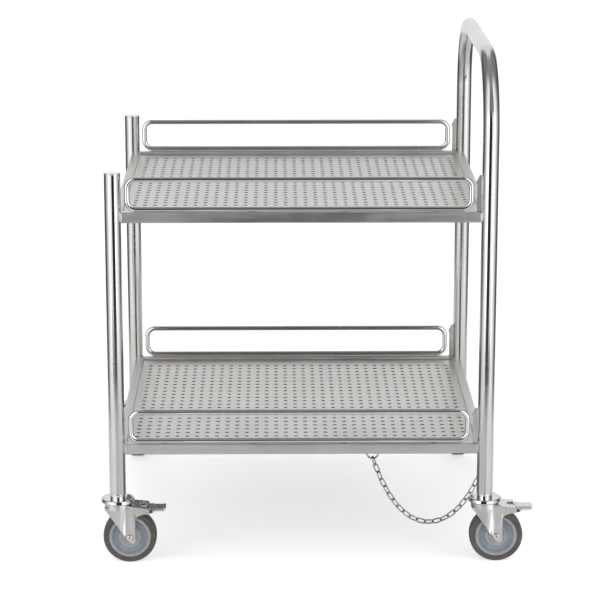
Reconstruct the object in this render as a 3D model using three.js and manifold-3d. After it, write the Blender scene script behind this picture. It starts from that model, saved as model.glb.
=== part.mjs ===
// Two-tier stainless steel trolley for wafer boxes: four tube legs, two of them joined by the push
// handle, two pan trays with guard rails, four braked swivel casters and a hanging earthing chain.
// Millimetres, +Z up, +X towards the push handle, the long side with the chain faces -Y.
// The origin is on the floor, at the middle of the box that holds the whole trolley.

import * as THREE from "three";
import { mergeVertices } from "three/addons/utils/BufferGeometryUtils.js";
import Module from "manifold-3d";

const wasm = await Module();
wasm.setup();

// Driving dimensions
const seatGap = 0.3; // between pieces that touch on the real trolley
const cutOverrun = 2; // how far a cutting solid runs past the face it opens
const weldDistance = 1e-3; // points nearer than this are one

const layout = {
  height: 957, // over the push handle
  legSpacingX: 686, // between the leg axes, along the trolley
  legSpacingY: 640, // between the leg axes, across it
  lowerTrayRise: 74.5, // from the foot of the legs to the underside of the lower tray
  shelfGap: 420, // clear height between the trays
  postStickUp: 70.7, // short posts above the upper tray's rim
};
const tube = { radius: 15, wall: 1.5, sides: 16 };
const handle = { bendRadius: 135, bendSteps: 6 };
const postCap = { radius: 15.5, edgeHeight: 1.2, domeHeight: 3.3, plugDepth: 12, domeRings: 3 };
const tray = {
  height: 20,
  sheet: 2,
  rimWidth: 17,
  recess: 5, // from the rim down to the floor
  returnFlange: 13, // turned-in edge along the underside
};
const perforation = {
  columns: 12,
  rows: 10,
  radius: 9,
  edgeX: 52, // outermost openings from the tray's ends
  edgeY: 82.4, // and from its long sides
  sides: 6,
};
const rail = {
  rodRadius: 5,
  height: 65.5, // over the rods
  cornerRadius: 16, // to the rod's axis
  inset: 6, // rod axis from the tray's outer face
  leftGap: 5.5, // from the short post
  rightGap: 13, // from the handle's leg, where the stop stands
  sides: 8,
  steps: 20,
};
const stop = {
  width: 8,
  thickness: 5,
  height: 67.2,
  inset: 5.3,
  barb: 1.8,
  barbDrop: 15,
  topWidth: 3.2,
};
const wheel = {
  radius: 50,
  width: 30,
  shoulder: 5, // rounding of the tyre's edges
  tyreInnerRadius: 39.6,
  lipInnerRadius: 33.3,
  lipWidth: 28,
  webOuterRadius: 31.8,
  webWidth: 12,
  ringOuterRadius: 20.5,
  ringWidth: 29,
  bossRadius: 12.7,
  segments: 24,
};
const axle = {
  radius: 5,
  headRadius: 6.5,
  headHeight: 3,
  nutAcrossFlats: 16,
  nutHeight: 6.5,
  nutSides: 6,
  threadEnd: 1.5, // thread that shows past the nut
  segments: 12,
};
const fork = {
  trail: 22, // from the leg's axis to the axle
  cheek: 3,
  sideRun: 3, // clear space between wheel and cheek
  topRun: 4, // clear space between wheel and crown
  crown: 4.5,
  crownFront: 24, // crown ahead of the leg's axis
  crownBack: 30,
  bossRadius: 10.7, // cheek around the axle
  armReach: 69, // tips of the arms, behind the leg's axis
  armRoot: 12.2, // depth of the arms where they leave the cheeks
  armTip: 7.6,
  armTipRise: 1.6, // chamfer over the tips
  armFall: 3.8, // from the crown to the tips along the arms' upper edge
  armTaper: 13.3, // how far from the tips their underside slopes
  raceRadius: 25,
  raceHeight: 5.5,
  footSteps: 3,
  segments: 24,
};
const swivel = {
  pinRadius: 6,
  pinHeadRadius: 9,
  pinHeadHeight: 2.2,
  capRadius: 31.25,
  capHeight: 9.6,
  capDish: 2.9,
  capDishRadius: 26.5,
  capEdgeDrop: 4.6,
  capFootRadius: 26,
  neckRadius: 13.2,
  collarRadius: 14,
  collarHeight: 10.4,
  stemLength: 40, // stem held inside the leg
  segments: 24,
  stemSegments: 16,
};
const brake = {
  plateThickness: 2.5,
  plateHalfWidth: 24,
  plateFromTip: 12, // outer edge of the brake plate, from the tips of the fork's arms
  slotFromTip: 20.5,
  slotHalfLength: 6.5,
  slotHalfWidth: 9.5,
  pinRadius: 2,
  pinHeadRadius: 3.2,
  pinHeadHeight: 1.2,
  pinFromTip: 7,
  pinDrop: 6.6, // pin axis below the crown's top
  barrelRadius: 4.6,
  toeThickness: 3.8,
  toeRise: 1.3, // underside of the toe above the pin axis
  toeHalfWidth: 14,
  toeGap: 1.2, // from the brake plate
  toePastTip: 20.5, // how far the toe stands out past the arms
  lobeReach: 9,
  lobeHalfWidth: 10,
  lobeHeight: 4.5,
  lobeTop: 1,
  segments: 12,
};
const chain = {
  planeInset: 100, // from the front leg axes
  pitch: 15.7,
  wireRadius: 1.4,
  linkWidth: 12,
  linkLap: 0.8, // how far one link bites into the next
  twist: 33, // degrees by which the hanging links turn about the chain's run
  ringTwist: 20, // the first link's
  twistStep: 12, // the most by which the twist changes from link to link
  slackShare: 1.656, // chain length over the distance between its ends
  ringRadius: 10.9, // to the wire's axis
  ringWireRadius: 1.8,
  lugFromEnd: 206, // left lug from the tray's handle end
  lugWidth: 16,
  lugThickness: 3,
  lugDrop: 29.7, // lug hole below the tray floor's underside
  lugHoleRadius: 3.2,
  lugMargin: 4.5, // metal around the holes
  hookReach: 12, // hook hole from the tray's end
  hookThickness: 2,
  hookClearance: 0.6, // between the last link's wire and the hole's edge
  linkSides: 5,
  linkSteps: 8,
  ringSides: 6,
  ringSteps: 16,
  holeSegments: 12,
};

// Places that follow from the driving dimensions
const crownTop = 2 * wheel.radius + fork.topRun + fork.crown;
const raceTop = crownTop + fork.raceHeight;
const capBottom = raceTop + seatGap;
const capTop = capBottom + swivel.capHeight;
const collarBottom = capTop - swivel.capDish + seatGap;
const collarTop = collarBottom + swivel.collarHeight;
const legFoot = collarTop + seatGap;
const lowerTrayZ = legFoot + layout.lowerTrayRise;
const upperTrayZ = lowerTrayZ + tray.height + layout.shelfGap;
const rimTop = upperTrayZ + tray.height;
const postTop = rimTop + layout.postStickUp;
const handleAxisZ = layout.height - tube.radius;
const halfX = layout.legSpacingX / 2;
const halfY = layout.legSpacingY / 2;
const cheekInner = wheel.width / 2 + fork.sideRun;
const cheekOuter = cheekInner + fork.cheek;
const axleBore = axle.radius + seatGap;
const pedalPinZ = crownTop - brake.pinDrop;
const pedalPinBore = brake.pinRadius + seatGap;
const pedalPinX = fork.armReach - brake.pinFromTip;
const plateEndX = fork.armReach - brake.plateFromTip;
const armCornerX = fork.armReach - fork.armTipRise;
const plateFall = (fork.armFall * (plateEndX - fork.crownBack)) / (armCornerX - fork.crownBack);
const pedalReach = fork.armReach + brake.toePastTip;

// Finishes
function finish(color, roughness, metalness) {
  return new THREE.MeshStandardMaterial({ color, roughness, metalness });
}

const polishedTube = finish(0xd6d6d4, 0.18, 1);
const satinSheet = finish(0xbdb9b2, 0.38, 1);
const polishedSteel = finish(0xdcdcda, 0.1, 1);
const pressedSteel = finish(0xc9c6c1, 0.45, 0.9);
const brakeSteel = finish(0x8f8d89, 0.4, 0.9);
const chainSteel = finish(0xa9a6a0, 0.35, 1);
const tyreRubber = finish(0x5d5b59, 0.75, 0);
const wheelPlastic = finish(0x7f8894, 0.55, 0);

// Basic solids
function solid(geometry) {
  const bare = geometry.clone();
  bare.deleteAttribute("normal");
  bare.deleteAttribute("uv");
  const merged = mergeVertices(bare, weldDistance);
  return new wasm.Manifold(
    new wasm.Mesh({
      numProp: 3,
      vertProperties: merged.attributes.position.array,
      triVerts: new Uint32Array(merged.index.array),
    }),
  );
}

function geometryOf(manifold) {
  const mesh = manifold.getMesh();
  const geometry = new THREE.BufferGeometry();
  geometry.setAttribute("position", new THREE.BufferAttribute(mesh.vertProperties, 3));
  geometry.setIndex(new THREE.BufferAttribute(mesh.triVerts, 1));
  geometry.computeVertexNormals();
  return geometry;
}

function block(x0, x1, y0, y1, z0, z1) {
  const box = new THREE.BoxGeometry(x1 - x0, y1 - y0, z1 - z0);
  return box.translate((x0 + x1) / 2, (y0 + y1) / 2, (z0 + z1) / 2);
}

function turned(profile, segments) {
  const points = profile.map(([radius, height]) => new THREE.Vector2(radius, height));
  return new THREE.LatheGeometry(points, segments).rotateX(Math.PI / 2);
}

function rodAlongZ(radius, z0, z1, segments) {
  const rod = new THREE.CylinderGeometry(radius, radius, z1 - z0, segments).rotateX(Math.PI / 2);
  return rod.translate(0, 0, (z0 + z1) / 2);
}

function rodAlongY(radius, y0, y1, segments) {
  const rod = new THREE.CylinderGeometry(radius, radius, y1 - y0, segments);
  return rod.translate(0, (y0 + y1) / 2, 0);
}

// A plate with its outline in X and Z, between two places along Y.
function plateAlongY(shape, y0, y1, curveSegments) {
  const options = { depth: y1 - y0, bevelEnabled: false, curveSegments };
  return new THREE.ExtrudeGeometry(shape, options).rotateX(Math.PI / 2).translate(0, y1, 0);
}

// A closed ring of round rod, drawn out sideways into a loop with rounded corners.
function rodLoop(halfLength, halfHeight, cornerRadius, rodRadius, sides, steps) {
  const ring = new THREE.TorusGeometry(cornerRadius, rodRadius, sides, steps).rotateZ(Math.PI / steps);
  const place = ring.attributes.position;
  for (let i = 0; i < place.count; i += 1) {
    place.setX(i, place.getX(i) + Math.sign(place.getX(i)) * (halfLength - cornerRadius));
    place.setY(i, place.getY(i) + Math.sign(place.getY(i)) * (halfHeight - cornerRadius));
  }
  return ring;
}

// A path made of chosen stations, each with its own direction, so that straight runs need no steps.
class StationPath extends THREE.Curve {
  constructor(stations) {
    super();
    this.stations = stations;
  }
  stationAt(u) {
    return this.stations[Math.round(u * (this.stations.length - 1))];
  }
  getPoint(u) {
    return this.stationAt(u).point.clone();
  }
  getPointAt(u) {
    return this.stationAt(u).point.clone();
  }
  getTangentAt(u) {
    return this.stationAt(u).direction.clone();
  }
}

function tubeSection() {
  const ring = new THREE.Shape().absarc(0, 0, tube.radius, 0, 2 * Math.PI, false);
  ring.holes.push(new THREE.Path().absarc(0, 0, tube.radius - tube.wall, 0, 2 * Math.PI, true));
  return ring;
}

function tubeAlong(stations) {
  return new THREE.ExtrudeGeometry(tubeSection(), {
    steps: stations.length - 1,
    extrudePath: new StationPath(stations),
    curveSegments: tube.sides / 2,
    bevelEnabled: false,
  });
}

// Assembly helpers
const cart = new THREE.Group();
const wheelLeft = wheel.radius - fork.trail;
const wheelRight = wheel.radius + fork.trail;
const reachLeft = Math.max(swivel.capRadius, wheelLeft, fork.crownFront, postCap.radius);
const reachRight = Math.max(swivel.capRadius, wheelRight, pedalReach);
const reachAside = Math.max(swivel.capRadius, cheekOuter + seatGap + axle.nutHeight + axle.threadEnd);
cart.position.x = (Math.max(reachLeft, reachAside) - reachRight) / 2;
cart.position.y = (reachAside - reachRight) / 2;

function addPiece(parent, name, geometry, material) {
  const piece = new THREE.Mesh(geometry, material);
  piece.name = name;
  parent.add(piece);
  return piece;
}

// Legs, handle and post caps
function postGeometry() {
  const up = new THREE.Vector3(0, 0, 1);
  const ends = [legFoot, postTop].map((z) => ({ point: new THREE.Vector3(0, 0, z), direction: up }));
  return tubeAlong(ends);
}

function handleGeometry() {
  const up = new THREE.Vector3(0, 0, 1);
  const down = new THREE.Vector3(0, 0, -1);
  const stations = [{ point: new THREE.Vector3(0, -halfY, legFoot), direction: up }];
  for (const side of [-1, 1]) {
    for (let i = 0; i <= handle.bendSteps; i += 1) {
      const along = side < 0 ? i / handle.bendSteps : 1 - i / handle.bendSteps;
      const turn = (along * Math.PI) / 2;
      const y = side * (halfY - handle.bendRadius + handle.bendRadius * Math.cos(turn));
      const z = handleAxisZ - handle.bendRadius + handle.bendRadius * Math.sin(turn);
      const direction = new THREE.Vector3(0, Math.sin(turn), -side * Math.cos(turn));
      stations.push({ point: new THREE.Vector3(0, y, z), direction });
    }
  }
  stations.push({ point: new THREE.Vector3(0, halfY, legFoot), direction: down });
  return tubeAlong(stations);
}

function postCapGeometry() {
  const plugRadius = tube.radius - tube.wall - seatGap;
  const seat = postTop + seatGap;
  const profile = [
    [0, seat - postCap.plugDepth],
    [plugRadius, seat - postCap.plugDepth],
    [plugRadius, seat],
    [postCap.radius, seat],
  ];
  for (let i = 0; i <= postCap.domeRings; i += 1) {
    const turn = ((i / postCap.domeRings) * Math.PI) / 2;
    const rise = (postCap.domeHeight - postCap.edgeHeight) * Math.sin(turn);
    const radius = i === postCap.domeRings ? 0 : postCap.radius * Math.cos(turn);
    profile.push([radius, seat + postCap.edgeHeight + rise]);
  }
  return turned(profile, tube.sides);
}

for (const [row, side] of [["front", -1], ["back", 1]]) {
  const post = addPiece(cart, row + "_left_post", postGeometry(), polishedTube);
  post.position.set(-halfX, side * halfY, 0);
  const cap = addPiece(cart, row + "_left_post_cap", postCapGeometry(), polishedSteel);
  cap.position.set(-halfX, side * halfY, 0);
}
addPiece(cart, "push_handle", handleGeometry(), polishedTube).position.x = halfX;

// Trays: a pan with a raised rim, turned-in edges below and a round notch for each leg
function trayGeometry() {
  const inner = tray.sheet;
  const rim = tray.rimWidth;
  const floorUnder = tray.height - tray.recess - tray.sheet;
  let pan = solid(block(-halfX, halfX, -halfY, halfY, 0, tray.height));
  const recess = block(
    -halfX + rim,
    halfX - rim,
    -halfY + rim,
    halfY - rim,
    tray.height - tray.recess,
    tray.height + cutOverrun,
  );
  const wallInset = inner + tray.returnFlange;
  const mouth = block(
    -halfX + wallInset,
    halfX - wallInset,
    -halfY + wallInset,
    halfY - wallInset,
    -cutOverrun,
    inner + cutOverrun,
  );
  const room = block(
    -halfX + inner,
    halfX - inner,
    -halfY + inner,
    halfY - inner,
    inner,
    floorUnder,
  );
  let hollow = solid(room);
  const notchRadius = tube.radius + seatGap;
  for (const sideX of [-1, 1]) {
    for (const sideY of [-1, 1]) {
      const wall = rodAlongZ(notchRadius + tray.sheet, 0, tray.height, 2 * tube.sides);
      hollow = hollow.subtract(solid(wall.translate(sideX * halfX, sideY * halfY, 0)));
      const notch = rodAlongZ(notchRadius, -cutOverrun, tray.height + cutOverrun, 2 * tube.sides);
      pan = pan.subtract(solid(notch.translate(sideX * halfX, sideY * halfY, 0)));
    }
  }
  pan = pan.subtract(solid(recess)).subtract(hollow).subtract(solid(mouth));
  return geometryOf(perforated(pan, floorUnder));
}

// Airflow openings in a tray's floor, a plain grid as open as the many small holes of the real sheet
function perforated(pan, floorUnder) {
  const reachX = halfX - perforation.edgeX;
  const reachY = halfY - perforation.edgeY;
  const pitchX = (2 * reachX) / (perforation.columns - 1);
  const pitchY = (2 * reachY) / (perforation.rows - 1);
  const under = floorUnder - cutOverrun;
  const over = floorUnder + tray.sheet + cutOverrun;
  let sheet = pan;
  for (let column = 0; column < perforation.columns; column += 1) {
    for (let row = 0; row < perforation.rows; row += 1) {
      const opening = rodAlongZ(perforation.radius, under, over, perforation.sides);
      opening.translate(column * pitchX - reachX, row * pitchY - reachY, 0);
      sheet = sheet.subtract(solid(opening));
    }
  }
  return sheet;
}

// Guard rail: a closed loop of round rod that stands on the rim
function railGeometry() {
  const left = -halfX + tube.radius + rail.leftGap;
  const right = halfX - tube.radius - rail.rightGap;
  const halfLength = (right - left) / 2 - rail.rodRadius;
  const halfHeight = rail.height / 2 - rail.rodRadius;
  const loop = rodLoop(
    halfLength,
    halfHeight,
    rail.cornerRadius,
    rail.rodRadius,
    rail.sides,
    rail.steps,
  );
  return loop.rotateX(Math.PI / 2).translate((left + right) / 2, 0, rail.height / 2);
}

// Stop: a flat bar beside the handle's leg, with a small barb below its chamfered top
function stopGeometry() {
  const shoulder = stop.height - stop.barbDrop;
  const outline = new THREE.Shape();
  outline.moveTo(0, 0);
  outline.lineTo(stop.width, 0);
  outline.lineTo(stop.width, stop.height);
  outline.lineTo(stop.width - stop.topWidth, stop.height);
  outline.lineTo(-stop.barb, shoulder + stop.barb);
  outline.lineTo(-stop.barb, shoulder);
  outline.lineTo(0, shoulder - stop.barb);
  return plateAlongY(outline, -stop.thickness / 2, stop.thickness / 2, 1);
}

for (const [level, trayZ] of [["upper", upperTrayZ], ["lower", lowerTrayZ]]) {
  addPiece(cart, level + "_tray", trayGeometry(), satinSheet).position.z = trayZ;
  const seat = trayZ + tray.height + seatGap;
  for (const [row, side] of [["front", -1], ["back", 1]]) {
    const guard = addPiece(cart, level + "_" + row + "_rail", railGeometry(), polishedSteel);
    guard.position.set(0, side * (halfY - rail.inset), seat);
    const block = addPiece(cart, level + "_" + row + "_stop", stopGeometry(), pressedSteel);
    block.position.set(halfX - tube.radius - seatGap - stop.width, side * (halfY - stop.inset), seat);
  }
}

// Caster pieces, in a frame whose Z axis is the leg's axis and whose X axis trails
function stemGeometry() {
  const pinTop = raceTop + seatGap;
  const pinSeat = crownTop - fork.crown - seatGap;
  const stemRadius = tube.radius - tube.wall - seatGap;
  const profile = [
    [0, pinSeat - swivel.pinHeadHeight],
    [swivel.pinHeadRadius, pinSeat - swivel.pinHeadHeight],
    [swivel.pinHeadRadius, pinSeat],
    [swivel.pinRadius, pinSeat],
    [swivel.pinRadius, pinTop],
    [swivel.neckRadius, pinTop],
    [swivel.neckRadius, collarBottom],
    [swivel.collarRadius, collarBottom],
    [swivel.collarRadius, collarTop],
    [stemRadius, collarTop],
    [stemRadius, collarTop + swivel.stemLength],
    [0, collarTop + swivel.stemLength],
  ];
  return turned(profile, swivel.stemSegments);
}

function swivelCapGeometry() {
  const bore = swivel.neckRadius + seatGap;
  const profile = [
    [bore, capBottom],
    [swivel.capFootRadius, capBottom],
    [swivel.capRadius, capTop - swivel.capEdgeDrop],
    [swivel.capRadius, capTop - swivel.capDish],
    [(swivel.capRadius + swivel.capDishRadius) / 2, capTop],
    [swivel.capDishRadius, capTop - swivel.capDish],
    [bore, capTop - swivel.capDish],
    [bore, capBottom],
  ];
  return turned(profile, swivel.segments);
}

// Outline of a cheek: a slanted front edge, a round foot at the axle and an arm for the brake
function cheekShape() {
  const front = -fork.crownFront;
  const toCorner = new THREE.Vector2(front - fork.trail, crownTop - wheel.radius);
  const tangent = toCorner.angle() + Math.acos(fork.bossRadius / toCorner.length());
  const back = fork.trail + fork.bossRadius;
  const armRootZ = crownTop - fork.armRoot;
  const armBendZ = armRootZ - fork.armRoot;
  const shape = new THREE.Shape();
  shape.absarc(fork.trail, wheel.radius, fork.bossRadius, tangent, 2 * Math.PI, false);
  shape.lineTo(back, armBendZ);
  shape.quadraticCurveTo(back, armRootZ, fork.armReach - fork.armTaper, armRootZ);
  shape.lineTo(fork.armReach, crownTop - fork.armTip);
  shape.lineTo(fork.armReach, crownTop - fork.armFall - fork.armTipRise);
  shape.lineTo(armCornerX, crownTop - fork.armFall);
  shape.lineTo(fork.crownBack, crownTop);
  shape.lineTo(front, crownTop);
  return shape;
}

function forkGeometry() {
  const shape = cheekShape();
  const crownBottom = crownTop - fork.crown;
  const crown = block(
    -fork.crownFront,
    fork.crownBack,
    -cheekInner,
    cheekInner,
    crownBottom,
    crownTop,
  );
  let body = solid(crown);
  for (const side of [-1, 1]) {
    const y0 = Math.min(side * cheekInner, side * cheekOuter);
    body = body.add(solid(plateAlongY(shape, y0, y0 + fork.cheek, fork.footSteps)));
  }
  body = body.add(solid(rodAlongZ(fork.raceRadius, crownBottom, raceTop, fork.segments)));
  const pinHole = rodAlongZ(
    swivel.pinRadius + seatGap,
    crownBottom - cutOverrun,
    raceTop + cutOverrun,
    swivel.stemSegments,
  );
  const across = cheekOuter + cutOverrun;
  const axleHole = rodAlongY(axleBore, -across, across, axle.segments);
  axleHole.translate(fork.trail, 0, wheel.radius);
  const pedalHole = rodAlongY(pedalPinBore, -across, across, brake.segments);
  pedalHole.translate(pedalPinX, 0, pedalPinZ);
  body = body.subtract(solid(pinHole)).subtract(solid(axleHole)).subtract(solid(pedalHole));
  return geometryOf(body);
}

function brakePlateGeometry() {
  const bottom = crownTop + seatGap;
  const top = bottom + brake.plateThickness;
  const start = fork.raceRadius / 2;
  const half = brake.plateHalfWidth;
  const under = bottom - plateFall - cutOverrun;
  const over = top + cutOverrun;
  const outline = new THREE.Shape();
  outline.moveTo(start, bottom);
  outline.lineTo(fork.crownBack, bottom);
  outline.lineTo(plateEndX, bottom - plateFall);
  outline.lineTo(plateEndX, top - plateFall);
  outline.lineTo(fork.crownBack, top);
  outline.lineTo(start, top);
  let plate = solid(plateAlongY(outline, -half, half, 1));
  const race = rodAlongZ(fork.raceRadius + seatGap, under, over, fork.segments);
  const hole = rodAlongZ(1, under, over, brake.segments);
  hole.scale(brake.slotHalfLength, brake.slotHalfWidth, 1);
  hole.translate(fork.armReach - brake.slotFromTip, 0, 0);
  plate = plate.subtract(solid(race)).subtract(solid(hole));
  const halves = plate.decompose();
  return geometryOf(halves.sort((a, b) => b.volume() - a.volume())[0]);
}

function brakePedalGeometry() {
  const start = plateEndX + brake.toeGap - pedalPinX;
  const end = pedalReach - pedalPinX;
  const barrelHalf = cheekInner - seatGap;
  const wide = brake.toeHalfWidth;
  const toeTop = brake.toeRise + brake.toeThickness;
  let pedal = solid(rodAlongY(brake.barrelRadius, -barrelHalf, barrelHalf, brake.segments));
  pedal = pedal.add(solid(block(start, brake.barrelRadius, -wide, wide, 0, toeTop)));
  pedal = pedal.add(solid(block(start, end, -wide, wide, brake.toeRise, toeTop)));
  const lobe = block(
    -brake.lobeReach,
    0,
    -brake.lobeHalfWidth,
    brake.lobeHalfWidth,
    brake.lobeTop - brake.lobeHeight,
    brake.lobeTop,
  );
  pedal = pedal.add(solid(lobe));
  const across = barrelHalf + cutOverrun;
  pedal = pedal.subtract(solid(rodAlongY(pedalPinBore, -across, across, brake.segments)));
  return geometryOf(pedal).translate(pedalPinX, 0, pedalPinZ);
}

// A headed pin along Y: a head below y0, a shank from y0 to y1 and, if asked, a head above y1
function headedPin(shankRadius, headRadius, headHeight, y0, y1, secondHead, segments) {
  const profile = [
    [0, y0 - headHeight],
    [headRadius, y0 - headHeight],
    [headRadius, y0],
    [shankRadius, y0],
    [shankRadius, y1],
  ];
  if (secondHead) {
    profile.push([headRadius, y1], [headRadius, y1 + headHeight], [0, y1 + headHeight]);
  } else {
    profile.push([0, y1]);
  }
  const points = profile.map(([radius, along]) => new THREE.Vector2(radius, along));
  return new THREE.LatheGeometry(points, segments);
}

function axleNutGeometry() {
  const corner = axle.nutAcrossFlats / 2 / Math.cos(Math.PI / axle.nutSides);
  const y0 = cheekOuter + seatGap;
  const y1 = y0 + axle.nutHeight;
  const nut = solid(rodAlongY(corner, y0, y1, axle.nutSides));
  const bore = solid(rodAlongY(axleBore, y0 - cutOverrun, y1 + cutOverrun, axle.segments));
  return geometryOf(nut.subtract(bore));
}

// Wheel parts, turned about Y: radii are to the middle of a flat facet, one of which faces the floor
function wheelTurned(profile) {
  const fullRadius = 1 / Math.cos(Math.PI / wheel.segments);
  const points = profile.map(([radius, along]) => new THREE.Vector2(radius * fullRadius, along));
  return new THREE.LatheGeometry(points, wheel.segments).rotateY(Math.PI / wheel.segments);
}

function tyreGeometry() {
  const half = wheel.width / 2;
  const profile = [
    [wheel.tyreInnerRadius, half],
    [wheel.tyreInnerRadius, -half],
    [wheel.radius - wheel.shoulder, -half],
    [wheel.radius, -half + wheel.shoulder],
    [wheel.radius, half - wheel.shoulder],
    [wheel.radius - wheel.shoulder, half],
    [wheel.tyreInnerRadius, half],
  ];
  return wheelTurned(profile);
}

function wheelCoreGeometry() {
  const bossHalf = cheekInner - seatGap;
  const side = [
    [axleBore, bossHalf],
    [wheel.bossRadius, bossHalf],
    [wheel.bossRadius, wheel.ringWidth / 2],
    [wheel.ringOuterRadius, wheel.ringWidth / 2],
    [wheel.ringOuterRadius, wheel.webWidth / 2],
    [wheel.webOuterRadius, wheel.webWidth / 2],
    [wheel.lipInnerRadius, wheel.lipWidth / 2],
    [wheel.tyreInnerRadius - seatGap, wheel.lipWidth / 2],
  ];
  const near = side.map(([radius, along]) => [radius, -along]);
  const far = [...side].reverse();
  return wheelTurned([...near, ...far, near[0]]);
}

// A caster at a leg, turned about the leg's axis from trailing towards the push handle
function addCaster(corner, x, y, turn) {
  const caster = new THREE.Group();
  caster.position.set(x, y, 0);
  caster.rotation.z = turn;
  cart.add(caster);
  addPiece(caster, corner + "_stem", stemGeometry(), polishedSteel);
  addPiece(caster, corner + "_swivel_cap", swivelCapGeometry(), polishedSteel);
  addPiece(caster, corner + "_fork", forkGeometry(), pressedSteel);
  addPiece(caster, corner + "_brake_plate", brakePlateGeometry(), brakeSteel);
  addPiece(caster, corner + "_brake_pedal", brakePedalGeometry(), brakeSteel);
  const cheekFace = cheekOuter + seatGap;
  const pin = headedPin(
    brake.pinRadius,
    brake.pinHeadRadius,
    brake.pinHeadHeight,
    -cheekFace,
    cheekFace,
    true,
    brake.segments,
  );
  addPiece(caster, corner + "_pedal_pin", pin, polishedSteel).position.set(pedalPinX, 0, pedalPinZ);
  const threadEnd = cheekFace + axle.nutHeight + axle.threadEnd;
  const shank = headedPin(
    axle.radius,
    axle.headRadius,
    axle.headHeight,
    -cheekFace,
    threadEnd,
    false,
    axle.segments,
  );
  const bolt = addPiece(caster, corner + "_axle_bolt", shank, polishedSteel);
  bolt.position.set(fork.trail, 0, wheel.radius);
  const nut = addPiece(caster, corner + "_axle_nut", axleNutGeometry(), polishedSteel);
  nut.position.set(fork.trail, 0, wheel.radius);
  const core = addPiece(caster, corner + "_wheel_core", wheelCoreGeometry(), wheelPlastic);
  core.position.set(fork.trail, 0, wheel.radius);
  const tyre = addPiece(caster, corner + "_tyre", tyreGeometry(), tyreRubber);
  tyre.position.set(fork.trail, 0, wheel.radius);
}

// The front casters trail towards the push handle, the back ones away from the chain's side
const quarterTurn = Math.PI / 2;
addCaster("front_left", -halfX, -halfY, 0);
addCaster("front_right", halfX, -halfY, 0);
addCaster("back_left", -halfX, halfY, quarterTurn);
addCaster("back_right", halfX, halfY, quarterTurn);

// Earthing chain: it hangs from a ring in a lug under the lower tray to a hook plate on the tray's end
const chainY = -halfY + chain.planeInset;
const floorUnderZ = lowerTrayZ + tray.height - tray.recess - tray.sheet;
const lugX = halfX - chain.lugFromEnd;
const lugHoleZ = floorUnderZ - chain.lugDrop;
const ringTopZ = lugHoleZ - chain.lugHoleRadius + seatGap + chain.ringWireRadius;
const ringCentreZ = ringTopZ - chain.ringRadius;
const ringBottomZ = ringCentreZ - chain.ringRadius;
const hookHoleX = halfX + chain.hookReach;

// The a of a hanging chain's curve z = a cosh(x / a), from its half span and half length
function catenaryParameter(halfSpan, halfLength) {
  let low = halfSpan / 20;
  let high = halfSpan * 20;
  for (let i = 0; i < 80; i += 1) {
    const middle = (low + high) / 2;
    if (middle * Math.sinh(halfSpan / middle) > halfLength) low = middle;
    else high = middle;
  }
  return (low + high) / 2;
}

function chainJoints() {
  const span = hookHoleX - lugX;
  const pairs = Math.floor((span * chain.slackShare) / chain.pitch / 2);
  const count = 2 * pairs + 1;
  const a = catenaryParameter(span / 2, (count * chain.pitch) / 2);
  const joints = [];
  for (let i = 0; i <= count; i += 1) {
    const along = (i - count / 2) * chain.pitch;
    const x = a * Math.asinh(along / a);
    joints.push(new THREE.Vector2((lugX + hookHoleX) / 2 + x, a * Math.cosh(x / a)));
  }
  const clear = chain.ringWireRadius + seatGap + chain.linkLap / 2;
  const lift = ringBottomZ + clear - joints[0].y;
  joints.forEach((joint) => joint.set(joint.x, joint.y + lift));
  return joints;
}

// The turn of a link about the chain's run: a quarter turn from link to link, and a twist of the whole
// chain that grows from the ring and fades towards the hook
function linkTurn(i, count) {
  const fromRing = chain.ringTwist + i * chain.twistStep;
  const fromHook = (count - 1 - i) * chain.twistStep;
  const twist = THREE.MathUtils.degToRad(Math.min(chain.twist, fromRing, fromHook));
  return (i % 2) * (Math.PI / 2) + twist;
}

function linkGeometry(start, end, turn) {
  const bend = (chain.linkWidth - 2 * chain.wireRadius) / 2;
  const facetDepth = bend * (1 - Math.cos(Math.PI / chain.linkSteps));
  const halfLength = (chain.pitch - chain.linkLap) / 2 + chain.wireRadius + facetDepth;
  const link = rodLoop(halfLength, bend, bend, chain.wireRadius, chain.linkSides, chain.linkSteps);
  link.rotateX(turn);
  const along = new THREE.Vector2().subVectors(end, start);
  link.rotateY(-along.angle());
  return link.translate((start.x + end.x) / 2, chainY, (start.y + end.y) / 2);
}

function chainGeometry(joints) {
  const count = joints.length - 1;
  let links = solid(linkGeometry(joints[0], joints[1], linkTurn(0, count)));
  for (let i = 1; i < count; i += 1) {
    links = links.add(solid(linkGeometry(joints[i], joints[i + 1], linkTurn(i, count))));
  }
  return geometryOf(links);
}

// Lug: a flat plate across the trolley, welded under the tray's floor, with a hole along X for the ring
function lugGeometry() {
  const bottom = lugHoleZ - chain.lugHoleRadius - chain.lugMargin;
  const half = chain.lugThickness / 2;
  const halfWidth = chain.lugWidth / 2;
  const plate = block(-half, half, -halfWidth, halfWidth, bottom, floorUnderZ - seatGap);
  const hole = rodAlongY(
    chain.lugHoleRadius,
    -chain.lugThickness,
    chain.lugThickness,
    chain.holeSegments,
  );
  hole.rotateZ(Math.PI / 2).translate(0, 0, lugHoleZ);
  return geometryOf(solid(plate).subtract(solid(hole))).translate(lugX, chainY, 0);
}

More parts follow.
